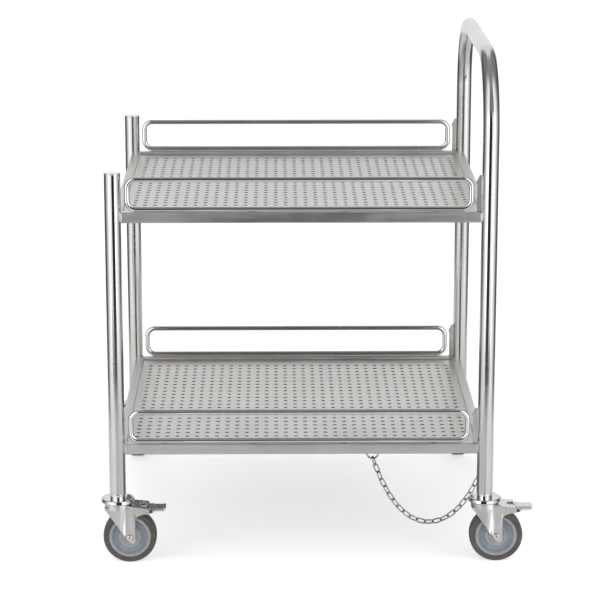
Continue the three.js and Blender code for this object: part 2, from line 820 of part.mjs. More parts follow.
// Hook plate: a flat plate on the tray's end wall, with a hole along Y for the last link
function hookGeometry(holeX, holeZ) {
  const wall = halfX + seatGap;
  const outer = holeX + chain.lugHoleRadius + chain.lugMargin;
  const bottom = holeZ - chain.lugHoleRadius - chain.lugMargin;
  const outline = new THREE.Shape();
  outline.moveTo(wall, lowerTrayZ);
  outline.lineTo(holeX - chain.lugHoleRadius - chain.lugMargin, bottom + chain.lugMargin);
  outline.lineTo(holeX - chain.lugHoleRadius, bottom);
  outline.lineTo(holeX + chain.lugHoleRadius, bottom);
  outline.lineTo(outer, bottom + chain.lugMargin);
  outline.lineTo(outer, lowerTrayZ);
  outline.lineTo(wall, lowerTrayZ + tray.height);
  const half = chain.hookThickness / 2;
  const plate = plateAlongY(outline, -half, half, 1);
  const hole = rodAlongY(
    chain.lugHoleRadius,
    -chain.hookThickness,
    chain.hookThickness,
    chain.holeSegments,
  );
  hole.translate(holeX, 0, holeZ);
  return geometryOf(solid(plate).subtract(solid(hole))).translate(0, chainY, 0);
}

const joints = chainJoints();
const lastJoint = joints[joints.length - 1];
const pull = new THREE.Vector2().subVectors(lastJoint, joints[joints.length - 2]).normalize();
const hookPull = chain.lugHoleRadius - chain.linkLap / 2 - chain.hookClearance;
const hookHole = pull.multiplyScalar(hookPull).add(lastJoint);
const ring = rodLoop(
  chain.ringRadius,
  chain.ringRadius,
  chain.ringRadius,
  chain.ringWireRadius,
  chain.ringSides,
  chain.ringSteps,
);
ring.rotateX(Math.PI / 2).translate(lugX, chainY, ringCentreZ);
addPiece(cart, "chain_lug", lugGeometry(), pressedSteel);
addPiece(cart, "chain_ring", ring, chainSteel);
addPiece(cart, "chain_hook", hookGeometry(hookHole.x, hookHole.y), pressedSteel);
addPiece(cart, "earthing_chain", chainGeometry(joints), chainSteel);

export default cart;
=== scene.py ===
"""The looks of a two-tier stainless steel trolley for wafer boxes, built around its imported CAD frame.

Every visible piece is modelled anew with Blender's own tools at the place that the CAD frame gives it, and rides on
the CAD body that it belongs to. Lengths are in metres, +Z is up and +X points towards the push handle.
"""

import logging
import math
from dataclasses import dataclass
from enum import Enum
from typing import Callable, Iterable, Sequence

import bpy
from mathutils import Euler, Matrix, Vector


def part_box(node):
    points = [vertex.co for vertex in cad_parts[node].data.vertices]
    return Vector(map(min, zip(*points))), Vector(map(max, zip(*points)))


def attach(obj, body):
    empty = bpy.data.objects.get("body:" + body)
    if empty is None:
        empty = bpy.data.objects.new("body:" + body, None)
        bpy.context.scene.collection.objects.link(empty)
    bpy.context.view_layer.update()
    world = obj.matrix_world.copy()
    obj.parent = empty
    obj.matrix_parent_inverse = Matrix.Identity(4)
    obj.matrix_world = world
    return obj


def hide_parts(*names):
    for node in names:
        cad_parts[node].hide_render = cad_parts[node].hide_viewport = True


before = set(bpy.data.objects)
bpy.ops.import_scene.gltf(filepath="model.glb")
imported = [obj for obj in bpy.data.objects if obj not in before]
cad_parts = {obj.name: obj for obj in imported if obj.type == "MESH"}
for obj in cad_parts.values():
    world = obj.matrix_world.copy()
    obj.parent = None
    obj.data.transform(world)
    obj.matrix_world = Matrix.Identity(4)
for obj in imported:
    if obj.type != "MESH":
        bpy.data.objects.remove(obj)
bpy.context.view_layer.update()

LOG = logging.getLogger("trolley")
GAP = 0.0003
# the point attribute that marks the painted highlight on the fork's crease
PAINTED_HIGHLIGHT = "painted_highlight"
Profile = Sequence[tuple[float, float]]
Rule = Callable[[Vector, Vector], bool]


class Pick(Enum):
    """What a selection rule is asked about, as Blender's three select modes."""

    POINTS = (True, False, False)
    EDGES = (False, True, False)
    FACES = (False, False, True)


class Row(Enum):
    """The two long sides of the trolley, with the sign of Y that each lies at."""

    FRONT = -1
    BACK = 1

    @property
    def word(self) -> str:
        """The side's name in piece names."""
        return self.name.lower()


class Level(Enum):
    """The two trays."""

    UPPER = "upper"
    LOWER = "lower"


class Axis(Enum):
    """Which way a turned piece's own Z axis ends up pointing, as rotation angles."""

    UP = (0.0, 0.0, 0.0)
    ALONG_Y = (-math.pi / 2, 0.0, 0.0)
    ALONG_X = (0.0, math.pi / 2, 0.0)


CORNERS = ("front_left", "front_right", "back_left", "back_right")


# Modelling helpers


def to_object_mode() -> None:
    """Leaves edit mode, if it is on."""
    if bpy.context.object is not None and bpy.context.object.mode != "OBJECT":
        bpy.ops.object.mode_set(mode="OBJECT")


def only(obj: bpy.types.Object) -> bpy.types.Object:
    """Makes obj the one selected and active object.

    Args:
        obj: the object to work on.

    Returns:
        The same object.
    """
    to_object_mode()
    bpy.ops.object.select_all(action="DESELECT")
    obj.select_set(True)
    bpy.context.view_layer.objects.active = obj
    return obj


def added(name: str) -> bpy.types.Object:
    """Names the primitive that was just added.

    Args:
        name: the piece's name.

    Returns:
        The new object.
    """
    obj = bpy.context.object
    obj.name = name
    obj.data.name = name
    return obj


def choose(obj: bpy.types.Object, kind: Pick, rule: Rule) -> int:
    """Enters edit mode with just those parts of a mesh selected that a rule picks out.

    Args:
        obj: the mesh object.
        kind: whether the rule is asked about points, edges or faces.
        rule: is given the middle of each, and its normal or, for an edge, its direction.

    Returns:
        How many were picked.
    """
    only(obj)
    mesh = obj.data
    for items in (mesh.vertices, mesh.edges, mesh.polygons):
        items.foreach_set("select", [False] * len(items))
    count = 0
    if kind is Pick.POINTS:
        for point in mesh.vertices:
            point.select = rule(point.co, point.normal)
            count += point.select
    elif kind is Pick.EDGES:
        for edge in mesh.edges:
            a, b = (mesh.vertices[i].co for i in edge.vertices)
            edge.select = rule((a + b) / 2, (b - a).normalized())
            count += edge.select
    else:
        for face in mesh.polygons:
            face.select = rule(face.center, face.normal)
            count += face.select
    bpy.context.tool_settings.mesh_select_mode = kind.value
    bpy.ops.object.mode_set(mode="EDIT")
    return count


def edit_all(obj: bpy.types.Object) -> None:
    """Enters edit mode with everything selected."""
    only(obj)
    bpy.ops.object.mode_set(mode="EDIT")
    bpy.ops.mesh.select_all(action="SELECT")


def tidy(obj: bpy.types.Object, merge: float = 1e-6) -> None:
    """Merges doubled points and turns every face outwards.

    Args:
        obj: the mesh object.
        merge: points closer than this become one.
    """
    edit_all(obj)
    bpy.ops.mesh.remove_doubles(threshold=merge)
    bpy.ops.mesh.normals_make_consistent(inside=False)
    to_object_mode()


def modify(obj: bpy.types.Object, kind: str, **settings: object) -> None:
    """Puts a modifier on a piece and applies it.

    Args:
        obj: the mesh object.
        kind: Blender's name for the modifier.
        **settings: the modifier's properties.
    """
    only(obj)
    modifier = obj.modifiers.new(kind.title(), kind)
    for key, value in settings.items():
        setattr(modifier, key, value)
    bpy.ops.object.modifier_apply(modifier=modifier.name)


def rounded(obj: bpy.types.Object, width: float, segments: int = 2, angle: float = 32.0) -> None:
    """Rounds the sharp edges of a piece.

    Args:
        obj: the mesh object.
        width: the rounding's width.
        segments: its number of steps.
        angle: edges that turn by more degrees than this are rounded.
    """
    modify(
        obj,
        "BEVEL",
        width=width,
        segments=segments,
        limit_method="ANGLE",
        angle_limit=math.radians(angle),
        use_clamp_overlap=True,
    )


def combine(obj: bpy.types.Object, others: Iterable[bpy.types.Object], operation: str) -> None:
    """Adds, or takes away, other solids, which are used up.

    Args:
        obj: the solid that stays.
        others: the solids that are used up.
        operation: UNION or DIFFERENCE.
    """
    for other in others:
        modify(obj, "BOOLEAN", object=other, operation=operation, solver="EXACT")
        bpy.data.objects.remove(other)


def joined(name: str, parts: Sequence[bpy.types.Object]) -> bpy.types.Object:
    """Makes one mesh of several.

    Args:
        name: the new piece's name.
        parts: the objects, of which the first one stays.

    Returns:
        The joined object.
    """
    only(parts[0])
    for part in parts[1:]:
        part.select_set(True)
    bpy.ops.object.join()
    return added(name)


def placed(
    obj: bpy.types.Object,
    at: Sequence[float] = (0, 0, 0),
    turn: Sequence[float] = (0, 0, 0),
    scale: Sequence[float] = (1, 1, 1),
) -> bpy.types.Object:
    """Moves, turns and scales a piece in its mesh, so that its object stays at the origin.

    Args:
        obj: the object.
        at: where its own origin goes.
        turn: angles about X, Y and Z.
        scale: factors along X, Y and Z.

    Returns:
        The same object.
    """
    only(obj)
    obj.location = at
    obj.rotation_euler = Euler(turn)
    obj.scale = scale
    bpy.ops.object.transform_apply(location=True, rotation=True, scale=True)
    return obj


def copied(obj: bpy.types.Object, name: str, at: Sequence[float] = (0, 0, 0)) -> bpy.types.Object:
    """Copies a piece with a mesh of its own.

    Args:
        obj: the piece to copy.
        name: the copy's name.
        at: how far the copy is moved.

    Returns:
        The copy.
    """
    only(obj)
    bpy.ops.object.duplicate(linked=False)
    return placed(added(name), at)


def smoothed(obj: bpy.types.Object, angle: float = 30.0) -> bpy.types.Object:
    """Shades a piece smooth, apart from edges sharper than an angle in degrees."""
    only(obj)
    bpy.ops.object.shade_smooth_by_angle(angle=math.radians(angle))
    return obj


def flat_shaded(obj: bpy.types.Object, angle: float = 35.0) -> bpy.types.Object:
    """Shades a sheet metal piece so that its flats stay flat beside their rounded edges.

    Args:
        obj: the piece.
        angle: edges sharper than this many degrees stay sharp.

    Returns:
        The same object.
    """
    smoothed(obj, angle)
    modify(obj, "WEIGHTED_NORMAL", keep_sharp=True, weight=50)
    return obj


def turned(
    name: str,
    profile: Profile,
    axis: Axis = Axis.UP,
    facets: int = 64,
) -> bpy.types.Object:
    """Turns a profile round an axis, ring by ring, as on a lathe.

    Args:
        name: the piece's name.
        profile: radius and height of each ring. A radius of 0 closes an end, and a last ring equal to the first
            makes a closed band.
        axis: where the turning axis ends up.
        facets: the number of sides.

    Returns:
        The new object.
    """
    rings = [p for p in profile if p[0] > 0]
    open_start, open_end = profile[0][0] > 0, profile[-1][0] > 0
    radius, height = rings[0]
    bpy.ops.object.select_all(action="DESELECT")
    bpy.ops.mesh.primitive_circle_add(vertices=facets, radius=radius, location=(0, 0, 0), fill_type="NOTHING")
    obj = placed(added(name), (0, 0, height))
    edit_all(obj)
    for next_radius, next_height in rings[1:]:
        bpy.ops.mesh.extrude_region_move(TRANSFORM_OT_translate={"value": (0, 0, next_height - height)})
        grow = next_radius / radius
        if abs(grow - 1) > 1e-9:
            bpy.ops.transform.resize(value=(grow, grow, 1), center_override=(0, 0, next_height))
        radius, height = next_radius, next_height
    if not open_end:
        close_ring(profile[-1][1] - height)
    if not open_start:
        start = rings[0]
        choose(
            obj,
            Pick.POINTS,
            lambda at, _: abs(at.z - start[1]) < 1e-7 and abs(math.hypot(at.x, at.y) - start[0]) < 1e-6,
        )
        bpy.context.tool_settings.mesh_select_mode = Pick.EDGES.value
        bpy.ops.mesh.select_mode(type="EDGE")
        close_ring(profile[0][1] - start[1])
    tidy(obj)
    return placed(obj, turn=axis.value)


def close_ring(rise: float) -> None:
    """Closes the selected ring by a fan of faces to a middle point.

    Args:
        rise: how far the middle point lies above the ring.
    """
    bpy.ops.mesh.extrude_region_move(TRANSFORM_OT_translate={"value": (0, 0, rise)})
    bpy.ops.mesh.merge(type="CENTER")


def arc(centre: tuple[float, float], radius: float, start: float, end: float, steps: int) -> list[tuple[float, float]]:
    """Points of a circular arc, for a turned profile.

    Args:
        centre: radius and height of the arc's centre.
        radius: the arc's own radius.
        start: its first angle in degrees, from the outward direction.
        end: its last angle.
        steps: the number of steps.

    Returns:
        The points, both ends included.
    """
    angles = (math.radians(start + (end - start) * i / steps) for i in range(steps + 1))
    return [(centre[0] + radius * math.cos(a), centre[1] + radius * math.sin(a)) for a in angles]


def block(name: str, low: Sequence[float], high: Sequence[float]) -> bpy.types.Object:
    """Adds a rectangular blank between two corners, to be shaped further.

    Args:
        name: the blank's name.
        low: its lowest corner.
        high: its highest corner.

    Returns:
        The new object.
    """
    bpy.ops.object.select_all(action="DESELECT")
    bpy.ops.mesh.primitive_cube_add(size=1, location=(0, 0, 0))
    middle = [(a + b) / 2 for a, b in zip(low, high)]
    return placed(added(name), middle, scale=[b - a for a, b in zip(low, high)])


def cut(obj: bpy.types.Object, at: Sequence[float], away: Sequence[float]) -> None:
    """Saws off what lies beyond a plane and closes the cut.

    Args:
        obj: the blank.
        at: a point on the plane.
        away: the direction of the waste.
    """
    edit_all(obj)
    bpy.ops.mesh.bisect(plane_co=at, plane_no=away, use_fill=True, clear_outer=True, threshold=1e-7)
    to_object_mode()


def score(obj: bpy.types.Object, at: Sequence[float], normal: Sequence[float]) -> None:
    """Draws a line of edges round a blank where a plane meets it.

    Args:
        obj: the blank.
        at: a point on the plane.
        normal: the plane's normal.
    """
    edit_all(obj)
    bpy.ops.mesh.bisect(plane_co=at, plane_no=normal, threshold=1e-7)
    to_object_mode()


def shift(obj: bpy.types.Object, by: Sequence[float], rule: Rule) -> None:
    """Moves the points that a rule picks out."""
    choose(obj, Pick.POINTS, rule)
    bpy.ops.transform.translate(value=by)
    to_object_mode()


def rod(name: str, radius: float, start: float, end: float, axis: Axis, facets: int = 32) -> bpy.types.Object:
    """A plain round cutter or bar along an axis, between two places on it."""
    return turned(name, [(0, start), (radius, start), (radius, end), (0, end)], axis, facets)


def loop_of_rod(name: str, half_long: float, half_wide: float, corner: float, wire: float, steps: int, sides: int):
    """A closed ring of round rod with rounded corners, lying in the XY plane.

    Args:
        name: the piece's name.
        half_long: half its length, to the rod's axis.
        half_wide: half its width, to the rod's axis.
        corner: the corners' radius, to the rod's axis.
        wire: the rod's radius.
        steps: steps of the four corners together, a multiple of four.
        sides: sides of the rod.

    Returns:
        The new object.
    """
    bpy.ops.object.select_all(action="DESELECT")
    bpy.ops.mesh.primitive_torus_add(
        major_radius=corner,
        minor_radius=wire,
        major_segments=steps,
        minor_segments=sides,
        location=(0, 0, 0),
    )
    obj = placed(added(name), turn=(0, 0, math.pi / steps))
    for sign in (-1, 1):
        if half_long > corner:
            shift(obj, (sign * (half_long - corner), 0, 0), lambda at, _: at.x * sign > 0)
    for sign in (-1, 1):
        if half_wide > corner:
            shift(obj, (0, sign * (half_wide - corner), 0), lambda at, _: at.y * sign > 0)
    return obj


def weld_bead(name: str, length: float, radius: float, ripples: int = 7, facets: int = 10) -> bpy.types.Object:
    """A short weld seam along Z: a rounded rib with the ripples of the weld pool.

    Args:
        name: the piece's name.
        length: its length.
        radius: its radius.
        ripples: the number of ripples.
        facets: its number of sides.

    Returns:
        The new object, centred on the origin.
    """
    profile: list[tuple[float, float]] = [(0, -length / 2)]
    steps = 2 * ripples
    for i in range(1, steps):
        along = i / steps
        swell = math.sin(math.pi * along) ** 0.35
        profile.append((radius * swell * (1 if i % 2 else 0.82), (along - 0.5) * length))
    profile.append((0, length / 2))
    return turned(name, profile, facets=facets)


def middle_of(node: str) -> Vector:
    """The middle of a CAD node's box."""
    low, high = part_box(node)
    return (low + high) / 2


def dressed(
    obj: bpy.types.Object,
    material: bpy.types.Material,
    body: str,
    stands_for: Sequence[str] = (),
) -> bpy.types.Object:
    """Gives a finished piece its material and its place in the model.

    Args:
        obj: the piece.
        material: its material.
        body: the CAD body that it moves with.
        stands_for: the CAD nodes that it replaces.

    Returns:
        The same object.
    """
    if not obj.data.materials:
        obj.data.materials.append(material)
    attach(obj, body)
    if stands_for:
        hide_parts(*stands_for)
    LOG.info("%s rides on %s", obj.name, body)
    return obj


# Shader node groups


class Sheet:
    """A node tree under construction, with short ways to add and link nodes."""

    def __init__(self, tree: bpy.types.NodeTree, keep: bool = False) -> None:
        """Starts on a tree, emptied unless it is kept."""
        self.tree = tree
        if not keep:
            tree.nodes.clear()

    def add(self, kind: str, **inputs: object) -> bpy.types.Node:
        """Adds a node.

        Args:
            kind: the node's type, without its ShaderNode prefix unless it needs another.
            **inputs: properties of the node by name, or sockets by name with blanks as underscores. A socket links.

        Returns:
            The node.
        """
        full = kind if kind.startswith("Node") else "ShaderNode" + kind
        node = self.tree.nodes.new(full)
        for key, value in inputs.items():
            if hasattr(node, key) and not key[0].isupper():
                setattr(node, key, value)
            else:
                self.feed(node, int(key[1:]) if key[0] == "I" and key[1:].isdigit() else key.replace("_", " "), value)
        return node

    def feed(self, node: bpy.types.Node, name: str | int, value: object) -> None:
        """Sets or links one input of a node."""
        socket = node.inputs[name]
        if isinstance(value, bpy.types.NodeSocket):
            self.tree.links.new(value, socket)
        else:
            socket.default_value = value

    def math(self, operation: str, first: object, second: object = 0.0, clamp: bool = False) -> bpy.types.NodeSocket:
        """Adds a maths node and returns its result."""
        node = self.add("Math", operation=operation, use_clamp=clamp, I0=first, I1=second)
        return node.outputs[0]

    def spread(self, value: object, low: float, high: float, to_low: float = 0.0, to_high: float = 1.0):
        """Maps a range of values on to another, smoothly, and returns the result."""
        node = self.add("MapRange", interpolation_type="SMOOTHSTEP", Value=value)
        for name, number in (("From Min", low), ("From Max", high), ("To Min", to_low), ("To Max", to_high)):
            self.feed(node, name, number)
        return node.outputs["Result"]

    def ramp(self, value: object, stops: Sequence[tuple[float, float]]) -> bpy.types.NodeSocket:
        """Maps a value along straight stretches between stops, each a place and a brightness."""
        node = self.add("ValToRGB", Fac=value)
        elements = node.color_ramp.elements
        for element, (place, level) in zip(elements, stops):
            element.position = place
            element.color = (level, level, level, 1)
        for place, level in stops[len(elements):]:
            elements.new(place).color = (level, level, level, 1)
        return node.outputs[0]

    def mixed(self, share: object, first: object, second: object) -> bpy.types.NodeSocket:
        """Mixes two colours and returns the result."""
        node = self.add("Mix", data_type="RGBA")
        node.inputs[0].default_value = 0.5
        for index, value in ((0, share), (6, first), (7, second)):
            self.feed(node, index, value)
        return node.outputs[2]


def new_group(name: str, inputs: dict[str, tuple[str, object]], outputs: dict[str, str]) -> tuple[Sheet, object, object]:
    """Starts a shader node group.

    Args:
        name: its name.
        inputs: socket type and default value by input name.
        outputs: socket type by output name.

    Returns:
        The sheet to build on, the group's input node and its output node.
    """
    tree = bpy.data.node_groups.new(name, "ShaderNodeTree")
    for key, (kind, default) in inputs.items():
        socket = tree.interface.new_socket(key, in_out="INPUT", socket_type=kind)
        socket.default_value = default
    for key, kind in outputs.items():
        tree.interface.new_socket(key, in_out="OUTPUT", socket_type=kind)
    sheet = Sheet(tree)
    return sheet, sheet.add("NodeGroupInput"), sheet.add("NodeGroupOutput")


@dataclass(frozen=True)
class Effects:
    """The node groups that several finishes share."""

    grain: bpy.types.NodeTree
    mottle: bpy.types.NodeTree
    scuffs: bpy.types.NodeTree

    @classmethod
    def build(cls) -> "Effects":
        """Builds the groups.

        Returns:
            The effects, ready to be placed in materials.
        """
        return cls(cls._grain(), cls._mottle(), cls._scuffs())

    @staticmethod
    def _grain() -> bpy.types.NodeTree:
        """Fine parallel lines of brushed or drawn metal, as a mask."""
        sheet, given, out = new_group(
            "fine_grain",
            {"Stretch": ("NodeSocketVector", (1, 1, 1)), "Fineness": ("NodeSocketFloat", 300.0)},
            {"Lines": "NodeSocketFloat"},
        )
        coord = sheet.add("TexCoord")
        stretched = sheet.add("VectorMath", operation="MULTIPLY", I0=coord.outputs["Object"], I1=given.outputs["Stretch"])
        fine = sheet.add("TexNoise", Vector=stretched.outputs[0], Scale=given.outputs["Fineness"], Detail=3.0)
        coarse_scale = sheet.math("MULTIPLY", given.outputs["Fineness"], 0.17)
        coarse = sheet.add("TexNoise", Vector=stretched.outputs[0], Scale=coarse_scale, Detail=2.0)
        both = sheet.math("ADD", sheet.math("MULTIPLY", fine.outputs[0], 0.65), sheet.math("MULTIPLY", coarse.outputs[0], 0.35))
        sheet.feed(out, "Lines", sheet.spread(both, 0.3, 0.7))
        return sheet.tree

    @staticmethod
    def _mottle() -> bpy.types.NodeTree:
        """Soft uneven clouds, as on wiped metal or moulded rubber, as a mask."""
        sheet, given, out = new_group(
            "soft_mottle",
            {"Size": ("NodeSocketFloat", 20.0)},
            {"Clouds": "NodeSocketFloat"},
        )
        coord = sheet.add("TexCoord")
        noise = sheet.add(
            "TexNoise",
            Vector=coord.outputs["Object"],
            Scale=given.outputs["Size"],
            Detail=4.0,
            Roughness=0.55,
            Distortion=0.6,
        )
        sheet.feed(out, "Clouds", sheet.spread(noise.outputs[0], 0.3, 0.7))
        return sheet.tree

    @staticmethod
    def _scuffs() -> bpy.types.NodeTree:
        """Sparse fine scratches in two directions, as a mask."""
        sheet, given, out = new_group(
            "light_scuffs",
            {"Density": ("NodeSocketFloat", 60.0)},
            {"Scratches": "NodeSocketFloat"},
        )
        coord = sheet.add("TexCoord")
        masks = []
        for turn, stretch in (((0.3, 0.5, 0.9), (1.0, 14.0, 9.0)), ((0.8, 0.2, -0.5), (11.0, 1.0, 13.0))):
            mapping = sheet.add("Mapping", Vector=coord.outputs["Object"], Rotation=turn, Scale=stretch)
            noise = sheet.add("TexNoise", Vector=mapping.outputs[0], Scale=given.outputs["Density"], Detail=2.0)
            masks.append(sheet.spread(noise.outputs[0], 0.64, 0.72))
        sheet.feed(out, "Scratches", sheet.math("MAXIMUM", masks[0], masks[1]))
        return sheet.tree


def use_group(sheet: Sheet, tree: bpy.types.NodeTree, **inputs: object) -> bpy.types.NodeSocket:
    """Places a group in a material and returns its first output."""
    node = sheet.add("Group", node_tree=tree)
    for key, value in inputs.items():
        sheet.feed(node, key, value)
    return node.outputs[0]


# Finishes


@dataclass(frozen=True)
class TubeRun:
    """Where the tubes' axis runs: upright legs, then a bend inwards to a level bar."""

    middle_y: float
    leg_y: float
    bar_z: float
    bend: float

    def direction(self, sheet: Sheet) -> bpy.types.NodeSocket:
        """The direction of the tube's axis at each point, along which its cross polish spreads highlights.

        Args:
            sheet: the material to build in.

        Returns:
            The direction.
        """
        coord = sheet.add("TexCoord")
        parts = sheet.add("SeparateXYZ", Vector=coord.outputs["Object"])
        y, z = sheet.math("SUBTRACT", parts.outputs[1], self.middle_y), parts.outputs[2]
        outward = sheet.math("SUBTRACT", sheet.math("ABSOLUTE", y), self.leg_y - self.bend)
        upward = sheet.math("SUBTRACT", z, self.bar_z - self.bend)
        outward = sheet.math("MAXIMUM", outward, 0.0)
        upward = sheet.math("MAXIMUM", upward, 0.0)
        along_y = sheet.math("MULTIPLY", upward, sheet.math("MULTIPLY", sheet.math("SIGN", y), -1.0))
        return sheet.add("CombineXYZ", Y=along_y, Z=outward).outputs[0]


@dataclass(frozen=True)
class SteelFinish:
    """Stainless or plated steel, from mirror polish to satin."""

    name: str
    dark: tuple[float, float, float]
    light: tuple[float, float, float]
    roughness: tuple[float, float]
    stretch: tuple[float, float, float] = (1, 1, 1)
    fineness: float = 300.0
    bump: float = 0.02
    bump_height: float = 0.00002
    anisotropy: float = 0.0
    bend: TubeRun | None = None
    clouds: float = 9.0
    # how far a point attribute lifts the colour towards near white: a painted highlight
    painted_highlight: float = 0.0

    def build(self, effects: Effects) -> bpy.types.Material:
        """Builds the material.

        Args:
            effects: the shared node groups.

        Returns:
            The material.
        """
        material = bpy.data.materials.new(self.name)
        material.use_nodes = True
        sheet = Sheet(material.node_tree)
        lines = use_group(sheet, effects.grain, Stretch=self.stretch, Fineness=self.fineness)
        clouds = use_group(sheet, effects.mottle, Size=self.clouds)
        scratches = use_group(sheet, effects.scuffs, Density=55.0)
        tone = sheet.math("ADD", sheet.math("MULTIPLY", lines, 0.45), sheet.math("MULTIPLY", clouds, 0.55))
        colour = sheet.mixed(tone, (*self.dark, 1), (*self.light, 1))
        low, high = self.roughness
        rough = sheet.spread(sheet.math("ADD", sheet.math("MULTIPLY", lines, 0.5), sheet.math("MULTIPLY", clouds, 0.5)), 0, 1, low, high)
        rough = sheet.math("ADD", rough, sheet.math("MULTIPLY", scratches, 0.05), clamp=True)
        height = sheet.math("SUBTRACT", lines, sheet.math("MULTIPLY", scratches, 0.6))
        relief = sheet.add("Bump", Strength=self.bump, Distance=self.bump_height, Height=height)
        # painted highlight: where the point attribute is set, the colour is mixed towards near white along the fork's
        # crease
        if self.painted_highlight:
            painted_glint = sheet.add("Attribute", attribute_name=PAINTED_HIGHLIGHT).outputs["Fac"]
            colour = sheet.mixed(sheet.math("MULTIPLY", painted_glint, self.painted_highlight), colour, (0.97, 0.965, 0.955, 1))
        shader = sheet.add("BsdfPrincipled", Base_Color=colour, Roughness=rough, Metallic=1.0, Normal=relief.outputs[0])
        if self.bend is not None:
            sheet.feed(shader, "Anisotropic", self.anisotropy)
            sheet.feed(shader, "Tangent", self.bend.direction(sheet))
        output = sheet.add("OutputMaterial")
        sheet.feed(output, "Surface", shader.outputs[0])
        return material


@dataclass(frozen=True)
class MouldedFinish:
    """Moulded rubber or plastic, matt, with a faint grain and dust in its clouds."""

    name: str
    dark: tuple[float, float, float]
    light: tuple[float, float, float]
    roughness: tuple[float, float]
    grain: float = 900.0
    bump: float = 0.12
    bump_height: float = 0.00006
    sheen: float = 0.0
    specular: float = 0.35

    def build(self, effects: Effects) -> bpy.types.Material:
        """Builds the material.

        Args:
            effects: the shared node groups.

        Returns:
            The material.
        """
        material = bpy.data.materials.new(self.name)
        material.use_nodes = True
        sheet = Sheet(material.node_tree)
        clouds = use_group(sheet, effects.mottle, Size=35.0)
        pores = use_group(sheet, effects.grain, Stretch=(1, 1, 1), Fineness=self.grain)
        scratches = use_group(sheet, effects.scuffs, Density=40.0)
        tone = sheet.math("ADD", sheet.math("MULTIPLY", clouds, 0.7), sheet.math("MULTIPLY", scratches, 0.35), clamp=True)
        colour = sheet.mixed(tone, (*self.dark, 1), (*self.light, 1))
        low, high = self.roughness
        rough = sheet.spread(clouds, 0, 1, low, high)
        relief = sheet.add("Bump", Strength=self.bump, Distance=self.bump_height, Height=pores)
        shader = sheet.add("BsdfPrincipled", Base_Color=colour, Roughness=rough, Normal=relief.outputs[0])
        sheet.feed(shader, "Specular IOR Level", self.specular)
        sheet.feed(shader, "Sheen Weight", self.sheen)
        output = sheet.add("OutputMaterial")
        sheet.feed(output, "Surface", shader.outputs[0])
        return material


@dataclass(frozen=True)
class Finishes:
    """Every finish on the trolley."""

    tube: bpy.types.Material
    sheet: bpy.types.Material
    rod: bpy.types.Material
    pressed: bpy.types.Material
    brake: bpy.types.Material
    chain: bpy.types.Material
    weld: bpy.types.Material
    # a near black finish for the holes' walls: painted shade
    hole_wall_shade: bpy.types.Material
    # a darker finish for the trays' lower faces: painted shade under the trays
    shaded_underside: bpy.types.Material
    # near black rivet: painted shade at the pedal's pin
    rivet: bpy.types.Material
    cap: bpy.types.Material
    tyre: bpy.types.Material
    core: bpy.types.Material
    lip: bpy.types.Material

    @classmethod
    def build(cls) -> "Finishes":
        """Builds all finishes.

        Returns:
            The finishes.
        """
        effects = Effects.build()
        low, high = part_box("push_handle")
        leg_y = (high.y - low.y) / 2 - TubeFrame.radius
        run = TubeRun((low.y + high.y) / 2, leg_y, high.z - TubeFrame.radius, TubeFrame.bend_radius)
        steels = {
            "tube": SteelFinish(
                "polished_tube",
                (0.60, 0.60, 0.59),
                (0.68, 0.68, 0.67),
                (0.10, 0.14),
                stretch=(1, 1, 9),
                fineness=160,
                bump=0.03,
                anisotropy=0.88,
                bend=run,
            ),
            "sheet": SteelFinish(
                "satin_sheet",
                (0.60, 0.585, 0.57),
                (0.70, 0.685, 0.67),
                (0.30, 0.42),
                stretch=(0.03, 1, 1),
                fineness=500,
                bump=0.05,
                bump_height=0.00003,
            ),
            "rod": SteelFinish("polished_rod", (0.74, 0.74, 0.73), (0.86, 0.86, 0.85), (0.05, 0.09), fineness=500),
            "cap": SteelFinish("polished_cap", (0.60, 0.60, 0.59), (0.70, 0.70, 0.69), (0.05, 0.09), fineness=500),
            "pressed": SteelFinish(
                "pressed_steel",
                (0.62, 0.61, 0.595),
                (0.74, 0.73, 0.715),
                (0.28, 0.42),
                stretch=(1, 1, 0.08),
                fineness=600,
                bump=0.06,
                bump_height=0.00004,
                clouds=30,
                # strength of the painted highlight along the fork's crease
                painted_highlight=0.9,
            ),
            "brake": SteelFinish(
                "brake_steel",
                (0.60, 0.595, 0.585),
                (0.72, 0.715, 0.705),
                (0.15, 0.24),
                fineness=700,
                bump=0.08,
                bump_height=0.00004,
                clouds=40,
            ),
            "chain": SteelFinish(
                "chain_wire",
                (0.40, 0.395, 0.38),
                (0.60, 0.59, 0.575),
                (0.16, 0.28),
                fineness=700,
                bump=0.06,
                clouds=60,
            ),
            # painted shade inside the holes: their walls are coloured near black
            "hole_wall_shade": SteelFinish("hole_wall_shade_edge", (0.10, 0.098, 0.095), (0.16, 0.157, 0.152), (0.5, 0.7), fineness=900, clouds=200),
            # the trays' lower faces, coloured darker as painted shade under the trays
            "shaded_underside": SteelFinish(
                "satin_shaded_underside",
                (0.30, 0.292, 0.285),
                (0.38, 0.37, 0.36),
                (0.42, 0.58),
                stretch=(0.03, 1, 1),
                fineness=500,
                bump=0.05,
                bump_height=0.00003,
            ),
            # the pedal's rivet, coloured near black as painted shade at the pin
            "rivet": SteelFinish("rivet_head", (0.08, 0.079, 0.077), (0.14, 0.138, 0.135), (0.30, 0.45), fineness=900, clouds=200),
            "weld": SteelFinish("weld_seam", (0.72, 0.71, 0.70), (0.88, 0.87, 0.86), (0.2, 0.34), fineness=900, clouds=200),
        }
        moulded = {
            "tyre": MouldedFinish("grey_tyre_rubber", (0.085, 0.082, 0.08), (0.135, 0.13, 0.127), (0.62, 0.8), sheen=0.08),
            "core": MouldedFinish("blue_grey_plastic", (0.29, 0.33, 0.395), (0.37, 0.41, 0.475), (0.42, 0.56), bump=0.08),
            "lip": MouldedFinish("light_grey_plastic", (0.33, 0.325, 0.32), (0.40, 0.395, 0.385), (0.42, 0.55), bump=0.08),
        }
        made = {key: finish.build(effects) for key, finish in (steels | moulded).items()}
        return cls(**made)


# Tubes


